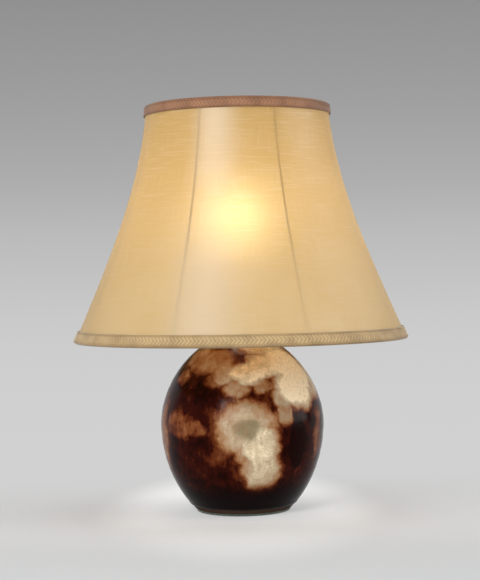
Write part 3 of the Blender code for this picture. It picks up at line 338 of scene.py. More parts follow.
def bumped(tree, height, distance, strength=1.0, under=None):
    facts = {"Strength": strength, "Distance": distance, "Height": height, "Normal": under}
    return put(tree, "Bump", facts).outputs[0]


def srgb(red, green, blue):
    # a colour read off a screen, 0 to 255, as Blender's linear values
    return tuple(x / 12.92 if x <= 0.04045 else ((x + 0.055) / 1.055) ** 2.4
                 for x in (red / 255, green / 255, blue / 255))


def toneRun(tree, value, stops, kind="LINEAR"):
    # a run of screen colours, each at its value from 0 to 1
    made = put(tree, "ValToRGB", {0: value})
    made.color_ramp.interpolation = kind
    for spot, tone in stops[1:-1]:
        made.color_ramp.elements.new(spot)
    for stop, (spot, tone) in zip(made.color_ramp.elements, stops):
        stop.position = spot
        stop.color = (*srgb(*tone), 1)
    return made.outputs[0]


def blended(tree, share, first, second):
    # two shaders, with this share of the second
    return put(tree, "MixShader", {0: share, 1: first.outputs[0], 2: second.outputs[0]})


def toSurface(tree, shader):
    plug(tree, tree.nodes["Material Output"].inputs["Surface"], shader.outputs[0])


def newGroup(name, numbers, outputs):
    # a shared effect: it takes a place and some numbers, and gives values
    group = bpy.data.node_groups.new(name, "ShaderNodeTree")
    group.interface.new_socket("Place", in_out="INPUT", socket_type="NodeSocketVector")
    for label, value in numbers.items():
        socket = group.interface.new_socket(label, in_out="INPUT", socket_type="NodeSocketFloat")
        socket.default_value = value
    for label in outputs:
        group.interface.new_socket(label, in_out="OUTPUT", socket_type="NodeSocketFloat")
    return group, group.nodes.new("NodeGroupInput").outputs, group.nodes.new("NodeGroupOutput")


def useGroup(tree, group, inputs):
    made = tree.nodes.new("ShaderNodeGroup")
    made.node_tree = group
    return fill(tree, made, inputs).outputs


# shared effects

def makeClothWeave():
    # a plain weave on a map in metres: thread relief, thick and thin yarns, and the gaps between threads
    group, given, out = newGroup("clothWeave", {"Warp": 1200.0, "Weft": 1100.0, "Slub": 0.5},
                                 ["Height", "Yarn", "Gap"])
    parts = split(group, given["Place"])
    drift = swing(group, noisy(group, given["Place"], 60.0), 1.6)
    threads = []
    for i, way in enumerate(("Warp", "Weft")):
        threads.append(plus(group, times(group, parts[i], given[way]), drift))
    sines = [maths(group, "SINE", times(group, thread, math.pi)) for thread in threads]
    waves = [maths(group, "ABSOLUTE", sine) for sine in sines]
    # under or over by the thread's number, kept just off the sine's zero
    numbers = [maths(group, "FLOOR", thread) for thread in threads]
    quarter = math.pi / 2 + 0.0001
    turns = [maths(group, "SINE", times(group, number, quarter)) for number in numbers]
    lift = span(group, times(group, *turns), -0.4, 0.4)
    # yarns that swell and thin along their length, each thread on its own
    warpPlace = joined(group, numbers[0], times(group, parts[1], 22.0), 9.1)
    weftPlace = joined(group, times(group, parts[0], 26.0), numbers[1], 3.7)
    warpSlub = span(group, noisy(group, warpPlace, 1.0, 1.0), 0.54, 0.78)
    weftSlub = span(group, noisy(group, weftPlace, 1.0, 1.0), 0.50, 0.74)
    yarn = times(group, larger(group, weftSlub, warpSlub), given["Slub"])
    relief = plus(group, times(group, waves[0], lift), times(group, waves[1], less(group, 1.0, lift)))
    fill(group, out, {"Height": plus(group, relief, times(group, yarn, 0.8)), "Yarn": yarn,
                      "Gap": span(group, larger(group, *waves), 0.72, 0.35)})
    return group


def makeMetalAge():
    # tarnish in soft clouds, dark grime specks, and fine rubbed lines for metal that has been handled
    group, given, out = newGroup("metalAge", {"Cloud Scale": 60.0, "Tarnish": 0.5},
                                 ["Tarnish", "Grime", "Roughness", "Height"])
    cloud = span(group, noisy(group, given["Place"], given["Cloud Scale"], 5.0, 0.6), 0.35, 0.68)
    speck = span(group, noisy(group, given["Place"], 900.0, 3.0, 0.7), 0.60, 0.75)
    lines = noisy(group, stretched(group, given["Place"], (140.0, 140.0, 3200.0)), 1.0, 3.0, 0.6)
    tarnish = times(group, cloud, given["Tarnish"])
    fill(group, out, {"Tarnish": tarnish, "Grime": times(group, speck, given["Tarnish"]),
                      "Roughness": plus(group, times(group, tarnish, 0.25), times(group, lines, 0.16)),
                      "Height": plus(group, times(group, lines, 0.6), times(group, speck, 0.4))})
    return group


def makeSpeckle():
    # fine specks over a soft mottle, for clay, glaze and moulded or pressed stuff
    group, given, out = newGroup("speckle", {"Speck Scale": 1200.0, "Mottle Scale": 60.0},
                                 ["Specks", "Mottle", "Height"])
    specks = noisy(group, given["Place"], given["Speck Scale"], 2.0, 0.6)
    mottle = noisy(group, given["Place"], given["Mottle Scale"], 4.0, 0.55)
    fill(group, out, {"Specks": span(group, specks, 0.60, 0.72), "Mottle": mottle,
                      "Height": plus(group, times(group, specks, 0.5), times(group, mottle, 0.5))})
    return group


clothWeave = makeClothWeave()
metalAge = makeMetalAge()
speckle = makeSpeckle()

# the glaze: a dark iron glaze, with cream and tan slip poured over it from the right shoulder

stoneware = {"radius": 0.100, "height": 0.2095, "widest": 0.107, "foot": 0.0585, "top": 0.0275, "wall": 0.006,
             "upperRoundness": 1.75, "rim": 0.0485, "seat": 0.0535, "seatDepth": 0.0022, "rimHeight": 0.006,
             "cavity": 0.010, "hole": 0.008, "edge": 0.0006, "glazeLine": 0.0052, "glazeDepth": 0.0003,
             "steps": 224, "outsideRows": 74, "insideRows": 26}
lead = {"height": 0.016, "radius": 0.0046, "length": 0.024}
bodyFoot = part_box("ceramic_body")[0].z
# how far the lower half would go down if it closed to a point
lowerReach = stoneware["widest"] / math.sqrt(1 - (stoneware["foot"] / stoneware["radius"]) ** 2)


def stoneRadius(height, inset=0.0):
    # the body's outer radius at a height over its foot, or of its inner wall
    radius, power = stoneware["radius"] - inset, stoneware["upperRoundness"]
    rise = stoneware["height"] - stoneware["widest"]
    upper = rise / (1 - (stoneware["top"] / stoneware["radius"]) ** 2) ** (1 / power) - inset
    if height > stoneware["widest"]:
        return radius * math.sqrt(max(0.0, 1 - ((height - stoneware["widest"]) / upper) ** power))
    return radius * math.sqrt(max(0.0, 1 - ((stoneware["widest"] - height) / (lowerReach - inset)) ** 2))


def onGlaze(azimuth, height):
    # a place on the body's surface, by its angle to the right of the front and its height over the table
    radius = stoneRadius(height - bodyFoot)
    turn = math.radians(azimuth)
    return Vector((radius * math.sin(turn), -radius * math.cos(turn), height))


# where slip was poured over the dark glaze: azimuth, height, half width, half height, and how thick it lies
slipPools = [
    (-10, 0.203, 0.034, 0.017, 0.32), (-28, 0.186, 0.026, 0.019, 0.58), (-22, 0.168, 0.015, 0.015, 0.40),
    (38, 0.203, 0.034, 0.017, 0.94), (-14, 0.173, 0.020, 0.014, 0.68), (7, 0.173, 0.028, 0.013, 1.06),
    (25, 0.181, 0.028, 0.015, 1.08), (48, 0.184, 0.032, 0.022, 1.14), (-4, 0.156, 0.016, 0.012, 0.58),
    (46, 0.158, 0.032, 0.028, 0.90), (68, 0.160, 0.026, 0.024, 0.84), (46, 0.153, 0.028, 0.024, 1.20),
    (56, 0.168, 0.030, 0.020, 1.20), (34, 0.144, 0.020, 0.014, 0.72), (31, 0.126, 0.013, 0.016, 0.62),
    (2, 0.080, 0.014, 0.016, 0.56), (2, 0.110, 0.040, 0.034, 0.70), (0, 0.110, 0.032, 0.026, 0.75),
    (12, 0.090, 0.024, 0.026, 0.92), (12, 0.080, 0.018, 0.018, 1.00), (14, 0.060, 0.023, 0.031, 0.84),
    (13, 0.063, 0.012, 0.021, 0.96), (-12, 0.072, 0.022, 0.018, 0.22), (-2, 0.056, 0.014, 0.012, 0.22),
    (-50, 0.112, 0.026, 0.016, 0.33), (-34, 0.108, 0.013, 0.009, 0.27), (66, 0.096, 0.012, 0.036, 0.28),
    (-74, 0.100, 0.018, 0.050, 0.40), (96, 0.176, 0.036, 0.022, 0.82), (98, 0.178, 0.022, 0.011, 1.00),
    (118, 0.150, 0.044, 0.034, 0.56), (-108, 0.140, 0.026, 0.021, 0.80), (-122, 0.172, 0.038, 0.032, 0.54),
    (170, 0.188, 0.034, 0.028, 0.62), (-172, 0.120, 0.036, 0.030, 0.82), (-174, 0.122, 0.026, 0.022, 1.00),
    (-160, 0.086, 0.015, 0.026, 0.94), (-150, 0.070, 0.026, 0.028, 0.46), (140, 0.064, 0.022, 0.028, 0.46),
    (-96, 0.066, 0.014, 0.022, 0.62), (17, 0.158, 0.015, 0.009, 0.54), (15, 0.144, 0.014, 0.010, 0.24),
    (-54, 0.191, 0.020, 0.018, 0.54), (-60, 0.168, 0.012, 0.014, 0.36),
]
# where the dark glaze broke through the slip again, and where iron turned it olive or rusty
breaks = [(120, 0.166, 0.012, 0.010, 0.4), (42, 0.088, 0.010, 0.030, 0.5)]
olivePools = [(4, 0.107, 0.016, 0.012, 0.95), (11, 0.144, 0.020, 0.013, 0.70), (30, 0.128, 0.014, 0.014, 0.5),
              (178, 0.118, 0.012, 0.010, 0.8), (94, 0.170, 0.010, 0.007, 0.7)]
rustPools = [(-10, 0.188, 0.050, 0.020, 0.9), (2, 0.203, 0.036, 0.013, 1.0), (-48, 0.112, 0.030, 0.018, 0.5),
             (150, 0.184, 0.040, 0.026, 0.7)]
# the glaze's colour from no slip to the thickest
glazeRun = [(0.0, (22, 4, 2)), (0.15, (46, 10, 4)), (0.27, (86, 38, 16)), (0.38, (120, 70, 40)),
            (0.48, (148, 104, 68)), (0.60, (168, 136, 105)), (0.72, (184, 163, 134)), (0.84, (206, 188, 156)),
            (1.0, (242, 224, 190))]
glaze = {"thickest": 1.2, "wander": 0.020, "crawl": 0.0045, "soft": 0.40, "mottle": 0.42, "streak": 0.30,
         "olive": (124, 112, 84), "rust": (252, 232, 206), "black": (15, 8, 7), "clay": (74, 56, 42),
         "darkClay": (52, 38, 29), "specks": (58, 24, 10), "cracks": (104, 66, 36), "crazing": 230.0,
         "run": (240.0, 240.0, 26.0), "wanderScale": 34.0, "crawlScale": 190.0, "patchScale": 75.0,
         "speckScale": 1500.0, "mottleScale": 42.0, "foot": (0.046, 0.018), "gloss": 0.09, "ragged": 0.0022,
         "slipStep": 0.0009, "runStep": 0.00025, "speckStep": 0.00014}


def poolField(tree, where, pools):
    # how thick the slip lies: the pools run into each other
    found = None
    for azimuth, height, across, up, level in pools:
        away = vector(tree, "SUBTRACT", where, onGlaze(azimuth, height))
        away = vector(tree, "MULTIPLY", away, (1 / across, 1 / across, 1 / up))
        part = span(tree, lengthOf(tree, away), 1 + glaze["soft"], 1 - glaze["soft"], 0.0, level)
        found = part if found is None else maths(tree, "SMOOTH_MAX", found, part, 0.06)
    return found


def shifted(tree, place, scale, reach):
    # a place pushed about by noise
    push = vector(tree, "SUBTRACT", noisy(tree, place, scale, 3.0, 0.6, 1), (0.5, 0.5, 0.5))
    push = put(tree, "VectorMath", {0: push, "Scale": reach}, operation="SCALE").outputs[0]
    return vector(tree, "ADD", place, push)


def makeGlaze():
    made, tree, shader = fresh("reactiveGlaze", roughness=0.12)
    place = objectPlace(tree)
    where = shifted(tree, place, glaze["wanderScale"], glaze["wander"])
    where = shifted(tree, where, glaze["crawlScale"], glaze["crawl"])
    marks = useGroup(tree, speckle, {"Place": place, "Speck Scale": glaze["speckScale"],
                                     "Mottle Scale": glaze["mottleScale"]})
    runs = noisy(tree, stretched(tree, where, glaze["run"]), 1.0, 4.0, 0.62)
    patches = noisy(tree, where, glaze["patchScale"], 4.0, 0.6)
    height = split(tree, place)[2]
    # the thickness of the slip, less where the dark glaze broke through, uneven all over
    slip = less(tree, poolField(tree, where, slipPools), poolField(tree, where, breaks))
    slip = plus(tree, slip, swing(tree, patches, glaze["mottle"]))
    slip = plus(tree, slip, swing(tree, runs, glaze["streak"]))
    slip = plus(tree, slip, span(tree, marks["Mottle"], 0.35, 0.65, 0.0, 0.16))
    low = span(tree, height, *glaze["foot"])
    slip = times(tree, slip, less(tree, 1.0, low))
    colour = toneRun(tree, maths(tree, "DIVIDE", slip, glaze["thickest"]), glazeRun, "EASE")
    olive = times(tree, poolField(tree, where, olivePools), span(tree, slip, 0.5, 0.8, 0.0, 0.85))
    colour = mixed(tree, olive, colour, srgb(*glaze["olive"]))
    rust = times(tree, poolField(tree, where, rustPools), span(tree, slip, 0.2, 0.5))
    colour = mixed(tree, rust, colour, srgb(*glaze["rust"]), "MULTIPLY")
    # iron specks, fine crazing in the pale slip, and the glaze darkened to black towards the foot
    colour = mixed(tree, times(tree, marks["Specks"], 0.30), colour, srgb(*glaze["specks"]))
    cells = put(tree, "TexVoronoi", {"Vector": where, "Scale": glaze["crazing"]}, feature="DISTANCE_TO_EDGE")
    cracks = times(tree, span(tree, cells.outputs[0], 0.045, 0.0), span(tree, slip, 0.66, 0.86, 0.0, 0.42))
    colour = mixed(tree, cracks, colour, srgb(*glaze["cracks"]))
    colour = mixed(tree, times(tree, low, 0.85), colour, srgb(*glaze["black"]))
    # bare clay under the glaze line
    ragged = swing(tree, noisy(tree, place, 60.0), glaze["ragged"])
    line = bodyFoot + stoneware["glazeLine"]
    bare = span(tree, plus(tree, height, ragged), line + 0.0004, line - 0.0002)
    clay = mixed(tree, marks["Mottle"], srgb(*glaze["clay"]), srgb(*glaze["darkClay"]))
    satin = span(tree, marks["Mottle"], 0.3, 0.7, 0.09, 0.17)
    satin = plus(tree, span(tree, slip, 0.5, 1.0, 0.0, 0.10), satin)
    normal = bumped(tree, span(tree, slip, 0.3, 0.9), glaze["slipStep"], 0.7)
    normal = bumped(tree, runs, glaze["runStep"], 0.5, normal)
    normal = bumped(tree, marks["Height"], glaze["speckStep"], 0.5, normal)
    fill(tree, shader, {"Base Color": mixed(tree, bare, colour, clay), "Normal": normal,
                        "Roughness": larger(tree, times(tree, bare, 0.85), satin),
                        "Specular IOR Level": glaze["gloss"]})
    return made


def bodyOutline():
    # down the outside, over the rolled glaze edge to the foot, then up the inside
    size, edge = stoneware, stoneware["edge"]
    outline = [(size["hole"], size["height"] - edge), (size["hole"] + edge, size["height"])]
    outline += [(size["top"] * share, size["height"]) for share in (0.55, 0.8, 0.94)]
    for i in range(size["outsideRows"] + 1):
        height = size["height"] / 2 * (1 + math.cos(math.pi * i / size["outsideRows"]))
        # the potter's rings, which fade out at both ends
        ripple = 0.00012 * math.sin(height * 1150) + 0.00007 * math.sin(height * 2380 + 1)
        fade = min(1, max(0, (height - 0.02) / 0.03), max(0, (size["height"] - height) / 0.02))
        roll = 0.0006 * math.exp(-((height - size["glazeLine"] - 0.0022) / 0.0016) ** 2)
        bare = size["glazeDepth"] if height < size["glazeLine"] else 0.0
        outline.append((stoneRadius(height) - bare + ripple * fade + roll, max(height, 0.0008)))
    outline += [(size["foot"] - 0.0010, 0.0), (size["seat"] + 0.0008, 0.0), (size["seat"], edge),
                (size["seat"], size["seatDepth"]), (size["rim"] + edge, size["seatDepth"]),
                (size["rim"], size["seatDepth"] + edge), (size["rim"], size["rimHeight"])]
    low, high = size["cavity"], size["height"] - size["wall"]
    for i in range(size["insideRows"] + 1):
        height = low + (high - low) / 2 * (1 - math.cos(math.pi * i / size["insideRows"]))
        outline.append((stoneRadius(height, size["wall"]), height))
    return outline + [(size["hole"] + edge, high), (size["hole"], high + edge)]


def makeStonewareBody():
    size = stoneware
    piece = spun("glazedBody", bodyOutline(), size["steps"], offset=bodyFoot)
    # the wheel leaves it a little out of true
    places = coordinates(piece)
    angle = np.arctan2(places[:, 1], places[:, 0])
    up = places[:, 2] - bodyFoot
    sway = 0.00022 * np.sin(2 * angle + up * 21) + 0.00014 * np.sin(3 * angle - up * 47)
    sway *= np.clip((up - 0.03) / 0.03, 0, 1) * np.clip((size["height"] - up) / 0.03, 0, 1)
    reach = np.hypot(places[:, 0], places[:, 1])
    places[:, :2] *= (1 + sway / np.maximum(reach, 0.01))[:, None]
    moveTo(piece, places)
    # the lead's hole low at the back, square to the wall
    low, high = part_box("cord_grommet")
    turn = math.asin((lead["height"] - size["widest"]) / lowerReach)
    out = Vector((0, lowerReach * math.cos(turn), size["radius"] * math.sin(turn))).normalized()
    cutBy(piece, rod((low + high) / 2 - out * lead["length"] / 2, out, lead["radius"], lead["length"]))
    settle(piece, "ceramic_body", ["glaze"], 30)


# cloth

bell = {"top": 0.112, "bottom": 0.203, "height": 0.2845, "flare": (0.27, 1.15, -0.42), "thickness": 0.001,
        "panels": 8, "firstRib": math.radians(22.5), "steps": 288, "rows": 44, "pull": 0.0013,
        "bottomBraid": (0.013, 0.007), "topBraid": (0.011, 0.0042)}
bulb = {"radius": 0.030, "length": 0.109, "wall": 0.0009, "neck": 0.0112, "screw": 0.020, "shoulder": 0.030,
        "join": math.radians(38), "rows": 26, "neckRows": 12}
linen = {"base": srgb(205, 178, 129), "paintedSheen": srgb(201, 184, 156), "warm": srgb(198, 167, 112),
         "upperTone": srgb(182, 148, 88), "yarn": srgb(224, 202, 162), "gap": srgb(130, 102, 64),
         "through": srgb(244, 207, 142), "yarnThrough": srgb(208, 164, 98), "clear": (1.0, 0.86, 0.55, 1),
         "share": 0.29, "seeThrough": 0.20, "blur": 0.95, "paintedSheenTurn": 0.23, "paintedSheenStrength": 0.58,
         "warpPerMetre": 1250.0, "weftPerMetre": 1150.0, "upperDepths": (0.23, 0.03), "relief": 0.00006,
         "insideRelief": 0.0002}
shadeBottom, shadeTop = [corner.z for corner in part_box("shade_skin")]
bulbCentre = Vector((0, 0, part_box("bulb_glass")[1].z - bulb["radius"]))


def bellRadius(height, depth=0.0):
    # the shade's radius at a height over the table, or of a line that lies deeper
    t = (shadeTop - height) / bell["height"]
    a, b, c = bell["flare"]
    spread = bell["bottom"] - bell["top"]
    slope = spread * (a + 2 * b * t + 3 * c * t * t) / bell["height"]
    return bell["top"] + spread * (a * t + b * t * t + c * t ** 3) - depth * math.hypot(1, slope)


def pullAt(x, y, z):
    # the cloth is pulled straight between the ribs, most where the bell flares
    share = ((np.arctan2(y, x) - bell["firstRib"]) / (2 * math.pi / bell["panels"])) % 1.0
    t = np.clip((shadeTop - z) / bell["height"], 0, 1)
    return bell["pull"] * np.sin(math.pi * share) ** 2 * np.sin(math.pi * t) ** 0.7


def linenColour(tree):
    # undyed linen on its own map, with yarns of several shades
    cloth = put(tree, "UVMap", uv_map="cloth").outputs[0]
    weave = useGroup(tree, clothWeave, {"Place": cloth, "Warp": linen["warpPerMetre"],
                                        "Weft": linen["weftPerMetre"], "Slub": 1.0})
    place = objectPlace(tree)
    parts = split(tree, place)
    colour = mixed(tree, span(tree, noisy(tree, place, 9.0, 3.0), 0.3, 0.7), linen["base"], linen["warm"])
    # darker and more golden towards the top
    start, end = [shadeTop - depth for depth in linen["upperDepths"]]
    colour = mixed(tree, span(tree, parts[2], start, end), colour, linen["upperTone"])
    # painted sheen: a paler streak left of the front stands in for the key light's sheen on the cloth, weaker
    # near the bulb's height where the bulb's light outshines it
    turn = maths(tree, "ARCTAN2", parts[0], times(tree, parts[1], -1.0))
    aside = maths(tree, "ABSOLUTE", plus(tree, turn, linen["paintedSheenTurn"]))
    beyond = maths(tree, "ABSOLUTE", less(tree, parts[2], bulbCentre.z))
    paintedSheen = span(tree, aside, 0.33, 0.06, 0.0, linen["paintedSheenStrength"])
    paintedSheen = times(tree, paintedSheen, span(tree, beyond, 0.01, 0.06, 0.25, 1.0))
    colour = mixed(tree, paintedSheen, colour, linen["paintedSheen"])
    colour = mixed(tree, times(tree, weave["Yarn"], 0.5), colour, linen["yarn"])
    return weave, mixed(tree, times(tree, weave["Gap"], 0.35), colour, linen["gap"])


def makeLinen():
    made, tree, shader = fresh("slubLinen", roughness=0.38)
    weave, colour = linenColour(tree)
    normal = bumped(tree, weave["Height"], linen["relief"], 0.6)
    fill(tree, shader, {"Base Color": colour, "Specular IOR Level": 0.7, "Normal": normal})
    glow = mixed(tree, times(tree, weave["Yarn"], 0.55), linen["through"], linen["yarnThrough"])
    through = put(tree, "BsdfTranslucent", {"Color": glow, "Normal": normal})
    seen = put(tree, "BsdfRefraction", {"Color": linen["clear"], "Roughness": linen["blur"], "IOR": 1.35})
    toSurface(tree, blended(tree, linen["share"], shader, blended(tree, linen["seeThrough"], through, seen)))
    return made


def makeLinenInside():
    # the side that faces the bulb: light from the bulb goes on through it to the outer side
    made, tree, shader = fresh("slubLinenInside", roughness=0.95)
    weave, colour = linenColour(tree)
    fill(tree, shader, {"Base Color": colour, "Specular IOR Level": 0.15,
                        "Normal": bumped(tree, weave["Height"], linen["insideRelief"], 0.8)})
    ray = put(tree, "LightPath").outputs
    passing = larger(tree, ray["Is Shadow Ray"], ray["Is Transmission Ray"])
    toSurface(tree, blended(tree, passing, shader, put(tree, "BsdfTransparent", {"Color": (1, 1, 1, 1)})))
    return made


def makeShade():
    size = bell
    heights = [shadeTop - size["height"] * i / size["rows"] for i in range(size["rows"] + 1)]
    outline = [(bellRadius(height), height) for height in heights]
    outline += [(bellRadius(height, size["thickness"]), height) for height in reversed(heights)]
    piece = spun("linenShade", outline, size["steps"], doublings=2)
    places = coordinates(piece)
    reach = np.hypot(places[:, 0], places[:, 1])
    places[:, :2] *= ((reach - pullAt(*places.T)) / reach)[:, None]
    moveTo(piece, places)
    # the cloth's length up the slant, and its area ring by ring
    heights.reverse()
    slant, area = [0.0], 0.0
    for low, high in zip(heights, heights[1:]):
        step = math.hypot(high - low, bellRadius(high) - bellRadius(low))
        slant.append(slant[-1] + step)
        area += math.pi * (bellRadius(low) + bellRadius(high)) * step
    mapRound(piece, "cloth", lambda p: np.interp(p[:, 2], heights, slant), size["panels"], size["firstRib"])
    settle(piece, "shade_skin", ["linen", "linenInside"], 40)
    for face in piece.data.polygons:
        x, y, z = face.center
        face.material_index = int(math.hypot(x, y) < bellRadius(z, size["thickness"] / 2) - pullAt(x, y, z))
    trims = [makeTrim("bottomBraid", "shade_bottom_trim", shadeBottom, 1, size["bottomBraid"], "braid"),
             makeTrim("topBraid", "shade_top_trim", shadeTop, -1, size["topBraid"], "braidTop")]


# braid trims: a tape that wraps each edge, with a corded edge on both sides of a plait

# cord is the share of the tape that each corded edge takes; twist and plait are pitches, lean and arrow slants
braid = {"steps": 1600, "rows": 18, "thickness": 0.0014, "gap": 0.0003, "behind": 0.0055, "cord": 0.17,
         "cordLift": 0.00085, "twist": 0.0030, "lean": 0.55, "plait": 0.0046, "plaitLift": 0.00062,
         "arrow": 1.7, "fibre": (2600.0, 900.0, 1.0), "fibreStep": 0.00012,
         "gold": ((128, 102, 68), (178, 152, 110)), "rust": ((106, 68, 46), (148, 108, 80))}


def makeBraid(name, tones):
    made, tree, shader = fresh(name, roughness=0.75)
    dark, light = [srgb(*tone) for tone in tones]
    place = put(tree, "UVMap", uv_map="cloth").outputs[0]
    reliefShade = put(tree, "Attribute", attribute_name="paintedReliefShade").outputs["Fac"]
    fibre = noisy(tree, stretched(tree, place, braid["fibre"]), 1.0, 3.0, 0.65)
    cloud = noisy(tree, objectPlace(tree), 60.0, 3.0)
    paler, darker = tuple(min(1.0, x * 1.6) for x in light), tuple(x * 0.6 for x in dark)
    # painted shade: the colour follows the braid's relief, dark in the grooves and light on top
    colour = mixed(tree, span(tree, reliefShade, 0.15, 0.85), dark, light)
    colour = mixed(tree, span(tree, fibre, 0.35, 0.75, 0.0, 0.45), colour, paler)
    colour = mixed(tree, span(tree, cloud, 0.35, 0.7, 0.0, 0.35), colour, darker)
    fill(tree, shader, {"Base Color": colour, "Sheen Weight": 0.35, "Sheen Roughness": 0.4,
                        "Specular IOR Level": 0.3, "Normal": bumped(tree, fibre, braid["fibreStep"], 0.8)})
    return made


def makeTrim(name, node, edge, up, reaches, material):
    # edge is the shade's own edge, up is 1 or -1 where the braid goes up or down from it, and reaches is how
    # far it goes outside and inside
    size = braid
    far, fold = edge + up * reaches[0], edge + up * reaches[1]
    over, gap, behind = size["thickness"] + size["gap"], size["gap"], size["behind"]
    rows = [far + (edge - far) * i / size["rows"] for i in range(size["rows"] + 1)]
    # along the outside, round the edge, along the inside, and back close to the cloth
    outline = [(bellRadius(height, -over), height) for height in rows]
    wrap = ((-over * 0.8, 0.6), (-over * 0.2, 1), (behind + over * 0.2, 1), (behind + over * 0.8, 0.6))
    for depth, out in wrap:
        outline.append((bellRadius(edge, depth), edge - up * over * out))
    for height in (edge, (edge + fold) / 2, fold):
        outline.append((bellRadius(height, behind + size["thickness"]), height))
    outline += [(bellRadius(fold, behind), fold), (bellRadius(edge, behind), edge - up * gap),
                (bellRadius(edge, -gap), edge - up * gap), (bellRadius(far, -gap), far)]
    piece = spun(name, outline, size["steps"] if up > 0 else size["steps"] // 2, doublings=4)
    places = coordinates(piece)
    reach = np.hypot(places[:, 0], places[:, 1])
    across = (places[:, 2] - edge) / (far - edge)
    surface = np.array([bellRadius(z, -over) for z in places[:, 2]])
    outer = (reach > surface - 0.0004) & (across > -0.02)
    # the patterns go round a whole number of times
    girth = 2 * math.pi * bellRadius((edge + far) / 2)
    turns = np.arctan2(places[:, 1], places[:, 0]) / (2 * math.pi)
    twist, plait = [turns * round(girth / size[pitch]) for pitch in ("twist", "plait")]
    cord = size["cord"]
    nearEdge = np.minimum(across, 1 - across) / cord
    isCord = nearEdge < 1
    bulge = np.sqrt(np.clip(1 - (2 * nearEdge - 1) ** 2, 0, 1))
    groove = np.cos(2 * np.pi * (twist + nearEdge * size["lean"] * np.where(across > 0.5, 1, -1)))
    cordLift = size["cordLift"] * bulge * (0.80 + 0.20 * groove)
    inner = np.clip((across - cord) / (1 - 2 * cord), 0, 1)
    bumps = (0.5 + 0.5 * np.cos(2 * np.pi * (plait + np.abs(inner - 0.5) * size["arrow"]))) ** 0.7
    plaitLift = size["plaitLift"] * bumps * (1 - 0.35 * np.exp(-((inner - 0.5) / 0.06) ** 2))
    lift = np.where(outer, np.where(isCord, cordLift, plaitLift), 0)
    places[:, :2] *= ((reach + lift) / reach)[:, None]
    moveTo(piece, places)
    # painted shade: darker in the cords' grooves and between the plaits, lighter on top of them
    paintedReliefShade = piece.data.attributes.new("paintedReliefShade", "FLOAT", "POINT")
    shade = np.where(isCord, 0.35 + 0.35 * groove, 0.25 + 0.75 * bumps)
    paintedReliefShade.data.foreach_set("value", np.where(outer, shade, 0.3).astype(np.float32))
    mapRound(piece, "cloth", trimUp)
    settle(piece, node, [material], 60)
    return piece


def trimUp(places):
    # the height, with the tape's inner half mapped downwards
    inside = np.array([bellRadius(z, 0.003) for z in places[:, 2]])
    return np.where(np.hypot(places[:, 0], places[:, 1]) > inside, places[:, 2], -places[:, 2])


# metals, glass and the hidden stuff

# clean colour, tarnished colour, roughness, how tarnished, and how fine the tarnish's clouds are
metals = {
    "antique_brass": ((0.58, 0.40, 0.17), (0.20, 0.12, 0.05), 0.22, 0.75, 70.0),
    "frame_wire": ((0.74, 0.66, 0.50), (0.42, 0.34, 0.22), 0.30, 0.5, 50.0),
    "steel": ((0.56, 0.56, 0.57), (0.30, 0.28, 0.26), 0.28, 0.5, 90.0),
    "aluminium": ((0.82, 0.82, 0.83), (0.52, 0.52, 0.52), 0.26, 0.4, 120.0),
    "solder": ((0.62, 0.62, 0.60), (0.36, 0.36, 0.35), 0.34, 0.6, 300.0),
}
# light colour, dark colour, roughness, how fine the specks and the mottle are, and the sheen
moulded = {
    "cardboard": ((0.20, 0.16, 0.12), (0.10, 0.075, 0.055), 0.9, 700.0, 200.0, 0.0),
    "phenolic": ((0.045, 0.028, 0.022), (0.018, 0.012, 0.010), 0.32, 1500.0, 120.0, 0.0),
    "rubber": ((0.035, 0.033, 0.031), (0.015, 0.015, 0.015), 0.65, 2000.0, 200.0, 0.0),
    "felt": ((0.075, 0.100, 0.072), (0.030, 0.045, 0.030), 1.0, 900.0, 300.0, 0.6),
}
opal = {"light": (0.95, 0.90, 0.80), "shade": (0.90, 0.85, 0.76), "glow": (1.0, 0.86, 0.62), "strength": 17.0,
        "dim": (1.0, 0.58, 0.24), "neck": (0.25, 0.14, 0.06), "frost": (1.0, 0.70, 0.36),
        "core": (1.0, 0.93, 0.76), "edge": (0.96, 0.62, 0.28)}
tungsten = {"dark": (0.30, 0.28, 0.26), "light": (0.42, 0.40, 0.36), "glow": (1.0, 0.62, 0.28),
            "hot": (1.0, 0.74, 0.40), "strength": 20.0}


def makeMetal(name):
    clean, old, roughness, tarnish, cloud = metals[name]
    made, tree, shader = fresh(name, clean, roughness, 1.0)
    age = useGroup(tree, metalAge, {"Place": objectPlace(tree), "Cloud Scale": cloud, "Tarnish": tarnish})
    colour = mixed(tree, age["Tarnish"], clean, old)
    fill(tree, shader, {"Base Color": mixed(tree, age["Grime"], colour, tuple(x * 0.3 for x in old)),
                        "Roughness": plus(tree, age["Roughness"], roughness),
                        "Normal": bumped(tree, age["Height"], 0.00003, 0.5)})
    return made


def makeMoulded(name):
    light, dark, roughness, speck, mottle, sheen = moulded[name]
    made, tree, shader = fresh(name, light, roughness)
    place = objectPlace(tree)
    marks = useGroup(tree, speckle, {"Place": place, "Speck Scale": speck, "Mottle Scale": mottle})
    colour = mixed(tree, span(tree, marks["Mottle"], 0.3, 0.7), dark, light)
    colour = mixed(tree, times(tree, marks["Specks"], 0.5), colour, tuple(x * 2.2 for x in light))
    rough = span(tree, marks["Mottle"], 0.2, 0.8, roughness - 0.06, min(1.0, roughness + 0.08))
    fill(tree, shader, {"Base Color": colour, "Roughness": rough, "Sheen Weight": sheen,
                        "Normal": bumped(tree, marks["Height"], 0.0001, 0.5)})
    return made


